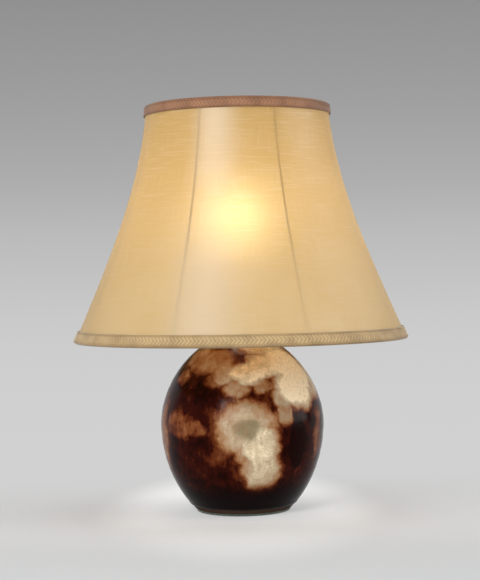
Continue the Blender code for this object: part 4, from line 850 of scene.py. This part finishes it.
def makeBulbGlass():
    # opal glass, brightest over the filament and dimmer towards the neck
    made, tree, shader = fresh("opalBulbGlass", opal["light"], 0.28)
    place = objectPlace(tree)
    far = lengthOf(tree, vector(tree, "SUBTRACT", place, bulbCentre))
    dim = span(tree, far, bulb["radius"], 0.066, 1.0, 0.25)
    frost = noisy(tree, place, 700.0, 3.0, 0.6)
    glow = mixed(tree, dim, opal["dim"], opal["glow"])
    glow = mixed(tree, span(tree, frost, 0.3, 0.7, 0.0, 0.06), glow, opal["frost"])
    fill(tree, shader, {"Base Color": mixed(tree, span(tree, frost, 0.3, 0.7), opal["light"], opal["shade"]),
                        "Emission Color": mixed(tree, dim, opal["neck"], glow),
                        "Emission Strength": opal["strength"], "Normal": bumped(tree, frost, 0.00003, 0.4)})
    # the camera sees it as an eye would, not burnt out
    warm = mixed(tree, span(tree, far, 0.020, 0.062), opal["core"], opal["edge"])
    warm = mixed(tree, span(tree, frost, 0.3, 0.7, 0.0, 0.12), warm, opal["edge"])
    eye = put(tree, "Emission", {"Color": warm, "Strength": 1.0})
    toSurface(tree, blended(tree, put(tree, "LightPath").outputs["Is Camera Ray"], shader, eye))
    return made


def makeClearGlass():
    made, tree, shader = fresh("stemGlass", (0.95, 0.95, 0.93), 0.06)
    seeds = noisy(tree, objectPlace(tree), 500.0)
    fill(tree, shader, {"Transmission Weight": 1.0, "IOR": 1.5, "Normal": bumped(tree, seeds, 0.00004, 0.4),
                        "Roughness": span(tree, seeds, 0.3, 0.7, 0.04, 0.12)})
    return made


def makeTungsten():
    made, tree, shader = fresh("litTungsten", (0.35, 0.33, 0.30), 0.5, 1.0)
    grain = noisy(tree, objectPlace(tree), 1800.0)
    fill(tree, shader, {"Base Color": mixed(tree, grain, tungsten["dark"], tungsten["light"]),
                        "Emission Color": mixed(tree, grain, tungsten["glow"], tungsten["hot"]),
                        "Emission Strength": tungsten["strength"]})
    return made


finishes = {"glaze": makeGlaze(), "linen": makeLinen(), "linenInside": makeLinenInside(),
            "braid": makeBraid("goldBraid", braid["gold"]), "braidTop": makeBraid("rustBraid", braid["rust"]),
            "bulb_glass": makeBulbGlass(), "stem_glass": makeClearGlass(), "tungsten": makeTungsten()}
finishes.update({name: makeMetal(name) for name in metals})
finishes.update({name: makeMoulded(name) for name in moulded})
for name, obj in nodes.items():
    obj.data.materials.clear()
    obj.data.materials.append(finishes[slotOf[name]])
print("finishes made:", len(finishes))

makeStonewareBody()
print("stoneware body made")
makeShade()
print("shade and braids made")


# fittings

# the hole that the lamp pipe goes through, the air between two pieces, and a pressed plate's thickness
bore, gap, plateThick = 0.0051, 0.0003, 0.0016


def makeFeltPad():
    low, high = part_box("felt_pad")
    radius, thick = high.x, high.z - low.z
    outline = [(0, thick), (radius - 0.0008, thick), (radius - 0.0002, thick - 0.0004), (radius, thick / 2),
               (radius - 0.0003, 0.0003), (radius - 0.0009, 0), (0, 0)]
    piece = spun("feltPad", outline, 128, closed=False, offset=low.z)
    settle(piece, "felt_pad", ["felt"])


def makeVaseCap():
    low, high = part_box("vase_cap")
    rim, tall, top, wall = high.x, high.z - low.z, 0.0092, 0.0012
    dome = arcPlaces(math.pi / 2, 0, 14, (top, 0.0032), (rim - 0.0006 - top, tall - 0.0032), 1)
    under = arcPlaces(math.pi / 2, 0, 10, (top - wall, 0.0020), (rim - top, tall - wall - 0.0020))
    outline = [(bore, tall), (top, tall)] + dome
    outline += [(rim - 0.0006, 0.0030), (rim, 0.0026), (rim, 0.0004), (rim - 0.0004, 0), (rim - wall, 0),
                (rim - wall, 0.0020)]
    outline += under[-2::-1] + [(bore, tall - wall)]
    settle(spun("vaseCap", outline, 96, offset=low.z), "vase_cap", ["antique_brass"])


def makeNeck():
    low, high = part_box("neck_spacer")
    tall, waist, edge, rows = high.z - low.z, 0.0078, 0.0003, 16
    swell = high.x - waist
    outline = [(bore, tall - edge), (bore + edge, tall), (waist - edge, tall), (waist, tall - edge)]
    for share in (i / rows for i in range(1, rows)):
        up = tall - edge - (tall - 2 * edge) * share
        outline.append((waist + swell * math.sin(math.pi * share) ** 2, up))
    outline += [(waist, edge), (waist - edge, 0), (bore + edge, 0), (bore, edge)]
    settle(spun("turnedNeck", outline, 72, offset=low.z), "neck_spacer", ["antique_brass"])


def makeSocketCap():
    low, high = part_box("socket_cap")
    radius, tall, neck, wall, step = high.x, high.z - low.z, 0.007, 0.0008, 0.006
    skirt = tall - 0.005
    dome = arcPlaces(0, -math.pi / 2, 14, (neck, skirt), (radius - neck, skirt - step))
    inside = arcPlaces(0, -math.pi / 2, 10, (neck - wall, skirt), (radius - neck, skirt - step - wall))
    outline = [(radius - 0.0002, tall), (radius, skirt + 0.0022), (radius + 0.0003, skirt + 0.0016),
               (radius, skirt + 0.0010)] + dome
    outline += [(neck, 0.0004), (neck - 0.0004, 0), (bore, 0), (bore, step + wall)]
    outline += inside[::-1] + [(radius - wall, tall)]
    cap = spun("socketCap", outline, 96, offset=low.z)
    # the set screw's hole
    cutBy(cap, rod((0, 0, low.z + 0.003), (1, 0, 0), 0.0015, 0.012))
    settle(cap, "socket_cap", ["antique_brass"])


def makeSocketShell():
    low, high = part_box("socket_shell")
    radius, tall = high.x, high.z - low.z
    outline = [(radius - 0.0020, tall), (radius - 0.0012, tall), (radius - 0.0004, tall - 0.0005),
               (radius, tall - 0.0014)]
    # two rolled beads, as pressed shells have
    bead = [(0, 0.0010), (0.00035, 0.0005), (0.0005, 0), (0.00035, -0.0005), (0, -0.0010)]
    for middle in (tall - 0.0065, tall - 0.0100):
        outline += [(radius + out, middle + up) for out, up in bead]
    outline += [(radius, 0), (radius - 0.0008, 0), (radius - 0.0008, tall - 0.0020),
                (radius - 0.0020, tall - 0.0008)]
    shell = spun("socketShell", outline, 96, offset=low.z)
    # the switch stem's hole
    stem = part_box("switch_stem")
    cutBy(shell, rod((0, 0, (stem[0].z + stem[1].z) / 2), (0, -1, 0), 0.0028, 0.022))
    settle(shell, "socket_shell", ["antique_brass"])


def glassLine(inset):
    # the bulb's outline from its crown to its screw, or its inner wall's
    radius, neck = bulb["radius"] - inset, bulb["neck"] - inset
    centre = (0, bulb["length"] - bulb["radius"])
    line = arcPlaces(math.pi / 2, -bulb["join"], bulb["rows"], centre, (radius, radius))
    line[0] = (0.0, line[0][1])
    joinAcross, joinUp = line[-1]
    for t in (i / bulb["neckRows"] for i in range(1, bulb["neckRows"] + 1)):
        fall = t * t * (3 - 2 * t)
        across = joinAcross + (neck - joinAcross) * (fall + t) / 2
        line.append((across, joinUp + (bulb["shoulder"] - joinUp) * t))
    return line + [(neck, bulb["screw"])]


def makeBulbEnvelope():
    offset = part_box("bulb_glass")[0].z - bulb["screw"]
    outline = glassLine(0) + glassLine(bulb["wall"])[::-1]
    piece = spun("bulbGlass", outline, 96, closed=False, offset=offset)
    settle(piece, "bulb_glass", ["bulb_glass", "stem_glass"], 50)
    # clear on the inside, so that the filament's light goes out through it
    for face in piece.data.polygons:
        x, y, z = face.center
        outward = Vector((x, y, max(0.0, (z - bulbCentre.z) * 0.6)))
        if outward.length > 1e-6 and face.normal.dot(outward) < 0:
            face.material_index = 1


harp = {"radius": 0.0019, "stand": 0.0245, "straight": 0.020, "widest": 0.46, "padRadius": 0.006,
        "pad": 0.005, "hole": 0.0021, "holeLong": 0.012}


def makeHarp():
    low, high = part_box("harp_wire")
    stand, wide, top, foot = harp["stand"], high.x - harp["radius"], high.z - harp["pad"] / 2, low.z
    straight = foot + harp["straight"]
    widest = straight + (top - straight) * harp["widest"]
    below, above = widest - straight, top - widest
    # the left half's knots from the foot to the top, each with its handles; the right half mirrors them
    half = [((stand, foot), (stand, foot - 0.004), (stand, foot + 0.006)),
            ((stand, straight), (stand, straight - 0.006), (stand, straight + below * 0.42)),
            ((wide, widest), (wide, widest - below * 0.40), (wide, widest + above * 0.46)),
            ((0.0, top), (wide * 0.72, top), (-wide * 0.72, top))]
    knots = [[(x, 0, z) for x, z in spots] for spots in half]
    knots += [[(-x, 0, z) for x, z in (spots[0], spots[2], spots[1])] for spots in reversed(half[:-1])]
    piece = bentLine(knots, harp["radius"], 22, 3, "harpWire")
    # the flat pad at the top, with the stud's hole
    pad = rod((0, 0, top - harp["pad"] / 2), (0, 0, 1), harp["padRadius"], harp["pad"], 48)
    modify(pad, "BEVEL", width=0.0006, segments=2, limit_method="ANGLE", angle_limit=math.radians(50))
    merged(piece, [pad])
    cutBy(piece, rod((0, 0, top - harp["holeLong"] / 2), (0, 0, 1), harp["hole"], harp["holeLong"]))
    settle(piece, "harp_wire", ["antique_brass"])


def bentArm(level, inner, post, bend, top):
    # a flat run out from the middle, a quarter bend, then straight up
    corner = arcPlaces(-math.pi / 2, 0, 8, (post - bend, level + bend), (bend, bend))
    return [(x, 0, z) for x, z in [(inner, level)] + corner + [(post, top)]]


def plate(inner, outer):
    # a pressed disc's outline
    edge, thick = 0.0004, plateThick
    return [(inner, thick), (outer - edge, thick), (outer, thick - edge), (outer, edge), (outer - edge, 0),
            (inner, 0)]


def turnedBy(places, turn):
    # places in the plane of X and Z, turned round the lamp's axis
    return [(place[0] * math.cos(turn), place[0] * math.sin(turn), place[2]) for place in places]


def makeSaddle():
    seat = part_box("saddle_nut")[0].z - gap - plateThick
    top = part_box("harp_saddle")[1].z
    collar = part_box("harp_ferrule_left")[0].z - 0.0017
    piece = spun("harpSaddle", plate(bore, 0.0135), 64, offset=seat)
    arm = bentArm(seat + plateThick / 2, 0.0116, harp["stand"], 0.006, top)
    parts = []
    for side in (-1, 1):
        parts.append(wire("arm", [(side * x, y, z) for x, y, z in arm], harp["radius"], 16))
        parts.append(rod((side * harp["stand"], 0, collar), (0, 0, 1), 0.0032, 0.0014))
    merged(piece, parts)
    settle(piece, "harp_saddle", ["antique_brass"])


def makeFerrule(node, name):
    low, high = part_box(node)
    tall, inside, wide, lip, edge = high.z - low.z, 0.0023, 0.0036, 0.0042, 0.0003
    outline = [(inside + edge, tall), (wide - edge, tall), (wide, tall - 0.0004), (wide, 0.0028),
               (wide - 0.0002, 0.0024), (wide, 0.0020), (wide, 0.0014), (lip, 0.0011), (lip, edge),
               (lip - edge, 0), (inside + edge, 0), (inside, edge), (inside, tall - edge)]
    piece = spun(name, outline, 40, offset=low.z)
    piece.location.x = (low.x + high.x) / 2
    settle(piece, node, ["antique_brass"])


def makeStud():
    low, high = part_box("harp_stud")
    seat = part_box("harp_wire")[1].z + gap
    top, foot, thread, grooves = high.z - seat, low.z - seat, 0.0031, 13
    flange, shank, head = 0.0075, 0.0018, 0.0038
    outline = [(0, top), (0.0025, top), (thread, top - 0.0006)]
    for i in range(grooves):
        up = top - 0.0008 - i * (top - 0.0030) / grooves
        outline += [(thread, up), (thread - 0.0004, up - 0.0004)]
    outline += [(thread, 0.0017), (flange - 0.0005, 0.0016), (flange, 0.0012), (flange, 0.0003),
                (flange - 0.0003, 0), (shank, 0), (shank, foot + 0.0016), (head - 0.0002, foot + 0.0016),
                (head, foot + 0.0010), (head - 0.0006, foot), (0, foot)]
    settle(spun("harpStud", outline, 40, closed=False, offset=seat), "harp_stud", ["antique_brass"])


def makeShadeFrame():
    # rings of thick wire, eight ribs, and a spider that hangs them from the finial's stud
    thick, rows, spareThread = 0.0018, 24, 0.013
    for node, name in (("shade_top_ring", "topRing"), ("shade_bottom_ring", "bottomRing")):
        low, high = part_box(node)
        centre, radii = (high.x - thick, (low.z + high.z) / 2), (thick, (high.z - low.z) / 2)
        outline = arcPlaces(0, 2 * math.pi, 14, centre, radii, 1)
        settle(spun(name, outline, 192), node, ["frame_wire"], 60)
    for i in range(bell["panels"]):
        node = "shade_rib_%d" % (i + 1)
        low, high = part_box(node)
        heights = [high.z - 0.0002 - (high.z - low.z - 0.0004) * row / rows for row in range(rows + 1)]
        places = [(bellRadius(height, 0.0026), 0, height) for height in heights]
        places = turnedBy(places, bell["firstRib"] + 2 * math.pi * i / bell["panels"])
        settle(wire("rib%d" % (i + 1), places, 0.0012), node, ["frame_wire"], 50)
    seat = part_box("harp_stud")[1].z - spareThread + gap
    piece = spun("shadeSpider", plate(0.0040, 0.0110), 64, offset=seat)
    low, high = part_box("shade_top_ring")
    arm = bentArm(seat + plateThick / 2, 0.0095, high.x - thick - gap, 0.010, low.z - gap)
    merged(piece, [wire("spiderArm", turnedBy(arm, math.radians(turn)), 0.0015) for turn in (90, 210, 330)])
    settle(piece, "shade_spider", ["frame_wire"], 40)


# the ball's outline, as shares of its width and height
ball = [(0.0, 1.0), (0.16, 0.995), (0.30, 0.97), (0.47, 0.925), (0.62, 0.87), (0.76, 0.79), (0.88, 0.70),
        (0.97, 0.60), (1.0, 0.50), (0.97, 0.40), (0.90, 0.30), (0.78, 0.215), (0.66, 0.165), (0.62, 0.14),
        (0.60, 0.11), (0.64, 0.08), (0.645, 0.03), (0.62, 0.0)]


def makeFinial():
    low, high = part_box("finial_base")
    tall, wide, hole = high.z - low.z, high.x, 0.0036
    outline = [(hole, tall), (wide - 0.0010, tall), (wide - 0.0004, tall - 0.0003),
               (wide - 0.0004, tall * 0.62), (wide, tall * 0.52), (wide, 0.0006), (wide - 0.0005, 0),
               (hole + 0.0004, 0), (hole, 0.0004)]
    settle(spun("finialBase", outline, 64, offset=low.z), "finial_base", ["antique_brass"])
    low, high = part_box("finial_knob")
    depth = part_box("harp_stud")[1].z - low.z + 0.002
    outline = [(across * high.x, up * (high.z - low.z)) for across, up in ball]
    outline += [(hole, 0), (hole, depth), (0, depth)]
    settle(spun("finialKnob", outline, 72, closed=False, offset=low.z), "finial_knob", ["antique_brass"])


# the switch's turn knob: a dished front inside a rounded rim, and fine round flutes down its side
knob = {"flutes": 24, "depth": 0.00050, "rim": 0.0016, "dish": 0.0007, "dishAcross": 0.0036, "bore": 0.00215,
        "boreDeep": 0.0081}


def makeKnob():
    low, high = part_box("switch_knob")
    wide, tall, size = (high.x - low.x) / 2, high.y - low.y, knob
    middle, back, across, floor = (high.z + low.z) / 2, high.y, size["dishAcross"], tall - size["dish"]
    outline = [(0, floor - 0.0002), (across * 0.7, floor - 0.0001), (across, floor + 0.0002),
               (across + 0.0005, tall - 0.0001)]
    rim = size["rim"]
    outline += arcPlaces(math.pi / 2, 0, 6, (wide - rim, tall - rim), (rim, rim))
    outline += [(wide, tall * 0.5), (wide, 0.0014), (wide - 0.0003, 0.0005), (wide - 0.0009, 0),
                (size["bore"], 0), (size["bore"], size["boreDeep"]), (0, size["boreDeep"])]
    piece = spun("switchKnob", outline, size["flutes"] * 8, closed=False)
    places = coordinates(piece)
    reach = np.hypot(places[:, 0], places[:, 1])
    around = np.arctan2(places[:, 1], places[:, 0])
    # the flutes start inside the rim's curve and die out at the knob's back edge
    share = np.clip((reach - (wide - 0.0012)) / 0.0010, 0, 1)
    share *= np.clip((places[:, 2] - 0.0003) / 0.0012, 0, 1)
    cut = 1 - size["depth"] / wide * share * np.abs(np.sin(around * size["flutes"] / 2)) ** 1.5
    # it was turned standing up, and points to the front
    moveTo(piece, np.column_stack([places[:, 0] * cut, back - places[:, 2], middle + places[:, 1] * cut]))
    settle(piece, "switch_knob", ["phenolic"], 50)


def polish(node, name, edge):
    # a small CAD piece with its edges broken, as they are on the real thing
    only(nodes[node])
    bpy.ops.object.duplicate()
    piece = nameIt(bpy.context.object, name)
    for key in list(piece.keys()):
        del piece[key]
    piece.parent = None
    weld(piece)
    modify(piece, "DECIMATE", decimate_type="DISSOLVE", angle_limit=math.radians(2))
    modify(piece, "BEVEL", width=edge, segments=2, limit_method="ANGLE", angle_limit=math.radians(40))
    settle(piece, node, [], 40)


makeFeltPad()
makeVaseCap()
makeNeck()
makeSocketCap()
makeSocketShell()
makeBulbEnvelope()
makeHarp()
makeSaddle()
makeFerrule("harp_ferrule_left", "leftFerrule")
makeFerrule("harp_ferrule_right", "rightFerrule")
makeStud()
makeShadeFrame()
makeFinial()
makeKnob()
for node, name, edge in (("saddle_nut", "saddleNut", 0.0003), ("bottom_nut", "bottomNut", 0.0003),
                         ("cord_grommet", "leadGrommet", 0.0004), ("switch_stem", "switchStem", 0.0002),
                         ("cap_set_screw", "capSetScrew", 0.0003), ("foot_pan", "footPan", 0.0003),
                         ("bottom_washer", "bottomWasher", 0.0002)):
    polish(node, name, edge)
print("fittings made")


# floor, backdrop and lights

studio = {"near": -3.0, "back": 1.5, "curve": 0.9, "bends": 24, "top": 3.2, "width": 5.0, "under": 0.0002}
# the painted pool of light round the foot, and the floor's painted tones
paintedPool = {"aside": -0.004, "long": 0.48, "core": 0.100, "wide": 0.190, "front": (213, 215, 216),
         "beside": (248, 250, 250), "near": (194, 196, 197), "far": (206, 207, 208), "glow": (240, 240, 240)}
# the backdrop's grey at distances back and up, which all lie within its reach
backdropReach = 4.0
backdropGreys = {0.4: 209, 1.5: 208, 1.95: 206, 2.20: 202, 2.42: 195, 2.64: 187, 2.86: 174, 3.14: 160,
                 3.45: 145}
air = {"bright": 0.70, "dim": 0.48, "dimFrom": -0.30, "dimTo": -0.90, "darkRoom": 0.7,
       "grey": (208, 208, 208)}


def makeFloorFinish():
    made, tree, shader = fresh("paleFloor", roughness=0.9)
    parts = split(tree, objectPlace(tree))
    # painted light: a pale pool of light is painted round the foot, longer than it is wide
    flat = joined(tree, plus(tree, parts[0], -paintedPool["aside"]), times(tree, parts[1], paintedPool["long"]))
    lit = span(tree, lengthOf(tree, flat), paintedPool["wide"], paintedPool["core"])
    tones = {name: srgb(*paintedPool[name]) for name in ("front", "beside", "near", "far", "glow")}
    beside = mixed(tree, span(tree, parts[1], -0.17, -0.03), tones["front"], tones["beside"])
    # painted shade and light: darker towards the camera and paler near the lamp, evening out the softboxes'
    # light and the lamp's shadow
    floor = mixed(tree, span(tree, parts[1], -0.34, -0.10), tones["near"], tones["far"])
    ray = put(tree, "LightPath").outputs
    dark = times(tree, ray["Is Glossy Ray"], air["darkRoom"])
    colour = mixed(tree, dark, mixed(tree, lit, floor, beside), (0.0, 0.0, 0.0))
    fill(tree, shader, {"Base Color": colour, "Specular IOR Level": 0.1})
    # further back the camera, gloss and glass see the backdrop's own even shade, which darkens upwards
    far = span(tree, plus(tree, parts[1], parts[2]), 0.0, backdropReach, 0.0, 1.0, False)
    greys = [(reach / backdropReach, (grey, grey, grey)) for reach, grey in backdropGreys.items()]
    # the painted pool of light is mixed into the backdrop's tone here too
    distant = mixed(tree, lit, toneRun(tree, far, greys), tones["glow"])
    # to the sides and behind the camera it runs into the even tone of the air
    aside = span(tree, maths(tree, "ABSOLUTE", parts[0]), 0.7, 2.0)
    outer = larger(tree, aside, span(tree, parts[1], -0.9, -2.2))
    glow = put(tree, "Emission", {"Color": mixed(tree, outer, distant, srgb(*air["grey"])), "Strength": 1.0})
    seen = larger(tree, ray["Is Camera Ray"], larger(tree, ray["Is Glossy Ray"], ray["Is Transmission Ray"]))
    share = times(tree, seen, larger(tree, span(tree, parts[1], -0.25, 0.36), outer))
    # from behind or below, the camera looks through it
    through = times(tree, put(tree, "NewGeometry").outputs["Backfacing"], ray["Is Camera Ray"])
    clear = put(tree, "BsdfTransparent", {"Color": (1, 1, 1, 1)})
    toSurface(tree, blended(tree, through, blended(tree, share, shader, glow), clear))
    return made


def makeFloor():
    # one sheet: the floor, a wide bend, and the wall behind
    bpy.ops.object.select_all(action="DESELECT")
    bpy.ops.mesh.primitive_plane_add(size=1)
    piece = nameIt(bpy.context.object, "studioFloor")
    size, curve = studio, studio["curve"]
    piece.scale = (size["width"] * 2, size["back"] - size["near"], 1)
    piece.location = (0, (size["back"] + size["near"]) / 2, -size["under"])
    bpy.ops.object.transform_apply(location=True, rotation=True, scale=True)
    bpy.ops.object.mode_set(mode="EDIT")
    bpy.ops.mesh.select_all(action="DESELECT")
    bpy.ops.object.mode_set(mode="OBJECT")
    for edge in piece.data.edges:
        edge.select = all(piece.data.vertices[i].co.y > size["back"] - 0.01 for i in edge.vertices)
    bpy.ops.object.mode_set(mode="EDIT")
    bpy.ops.mesh.select_mode(type="EDGE")
    turns = [math.pi / 2 * i / size["bends"] for i in range(size["bends"] + 1)]
    moves = [(0, curve * (math.sin(b) - math.sin(a)), curve * (math.cos(a) - math.cos(b)))
             for a, b in zip(turns, turns[1:])]
    for move in moves + [(0, 0, size["top"] - curve)]:
        bpy.ops.mesh.extrude_region_move(TRANSFORM_OT_translate={"value": move})
    bpy.ops.object.mode_set(mode="OBJECT")
    bpy.ops.object.shade_smooth()
    piece.data.materials.append(makeFloorFinish())


def addSoftbox(name, place, size, power):
    bpy.ops.object.light_add(type="AREA", location=place)
    made = bpy.context.object
    made.name = name
    made.data.shape = "RECTANGLE"
    made.data.size, made.data.size_y = size
    made.data.energy = power
    made.rotation_euler = (Vector((0, 0, 0.22)) - made.location).to_track_quat("-Z", "Y").to_euler()


def addWorld():
    # even pale air, dimmer towards the camera, where a studio is dark
    made = bpy.data.worlds.new("studioAir")
    made.use_nodes = True
    tree = made.node_tree
    ahead = split(tree, put(tree, "TexCoord").outputs["Generated"])[1]
    level = span(tree, ahead, air["dimFrom"], air["dimTo"], air["bright"], air["dim"])
    # gloss mirrors a darker room, and the camera sees one even tone
    ray = put(tree, "LightPath").outputs
    level = times(tree, level, less(tree, 1.0, times(tree, ray["Is Glossy Ray"], air["darkRoom"])))
    level = put(tree, "Mix", {0: ray["Is Camera Ray"], 2: level, 3: srgb(*air["grey"])[0]}).outputs[0]
    fill(tree, tree.nodes["Background"], {0: (1.0, 1.0, 1.0, 1), 1: level})
    bpy.context.scene.world = made


makeFloor()
addSoftbox("keySoftbox", (-0.98, -2.12, 1.05), (0.55, 1.8), 42.0)
addSoftbox("fillSoftbox", (2.3, -0.3, 0.85), (1.6, 1.4), 20.0)
addSoftbox("topSoftbox", (0.2, -0.9, 2.4), (1.6, 1.6), 7.0)
addWorld()
bpy.context.scene.view_settings.view_transform = "Standard"
print("studio made")
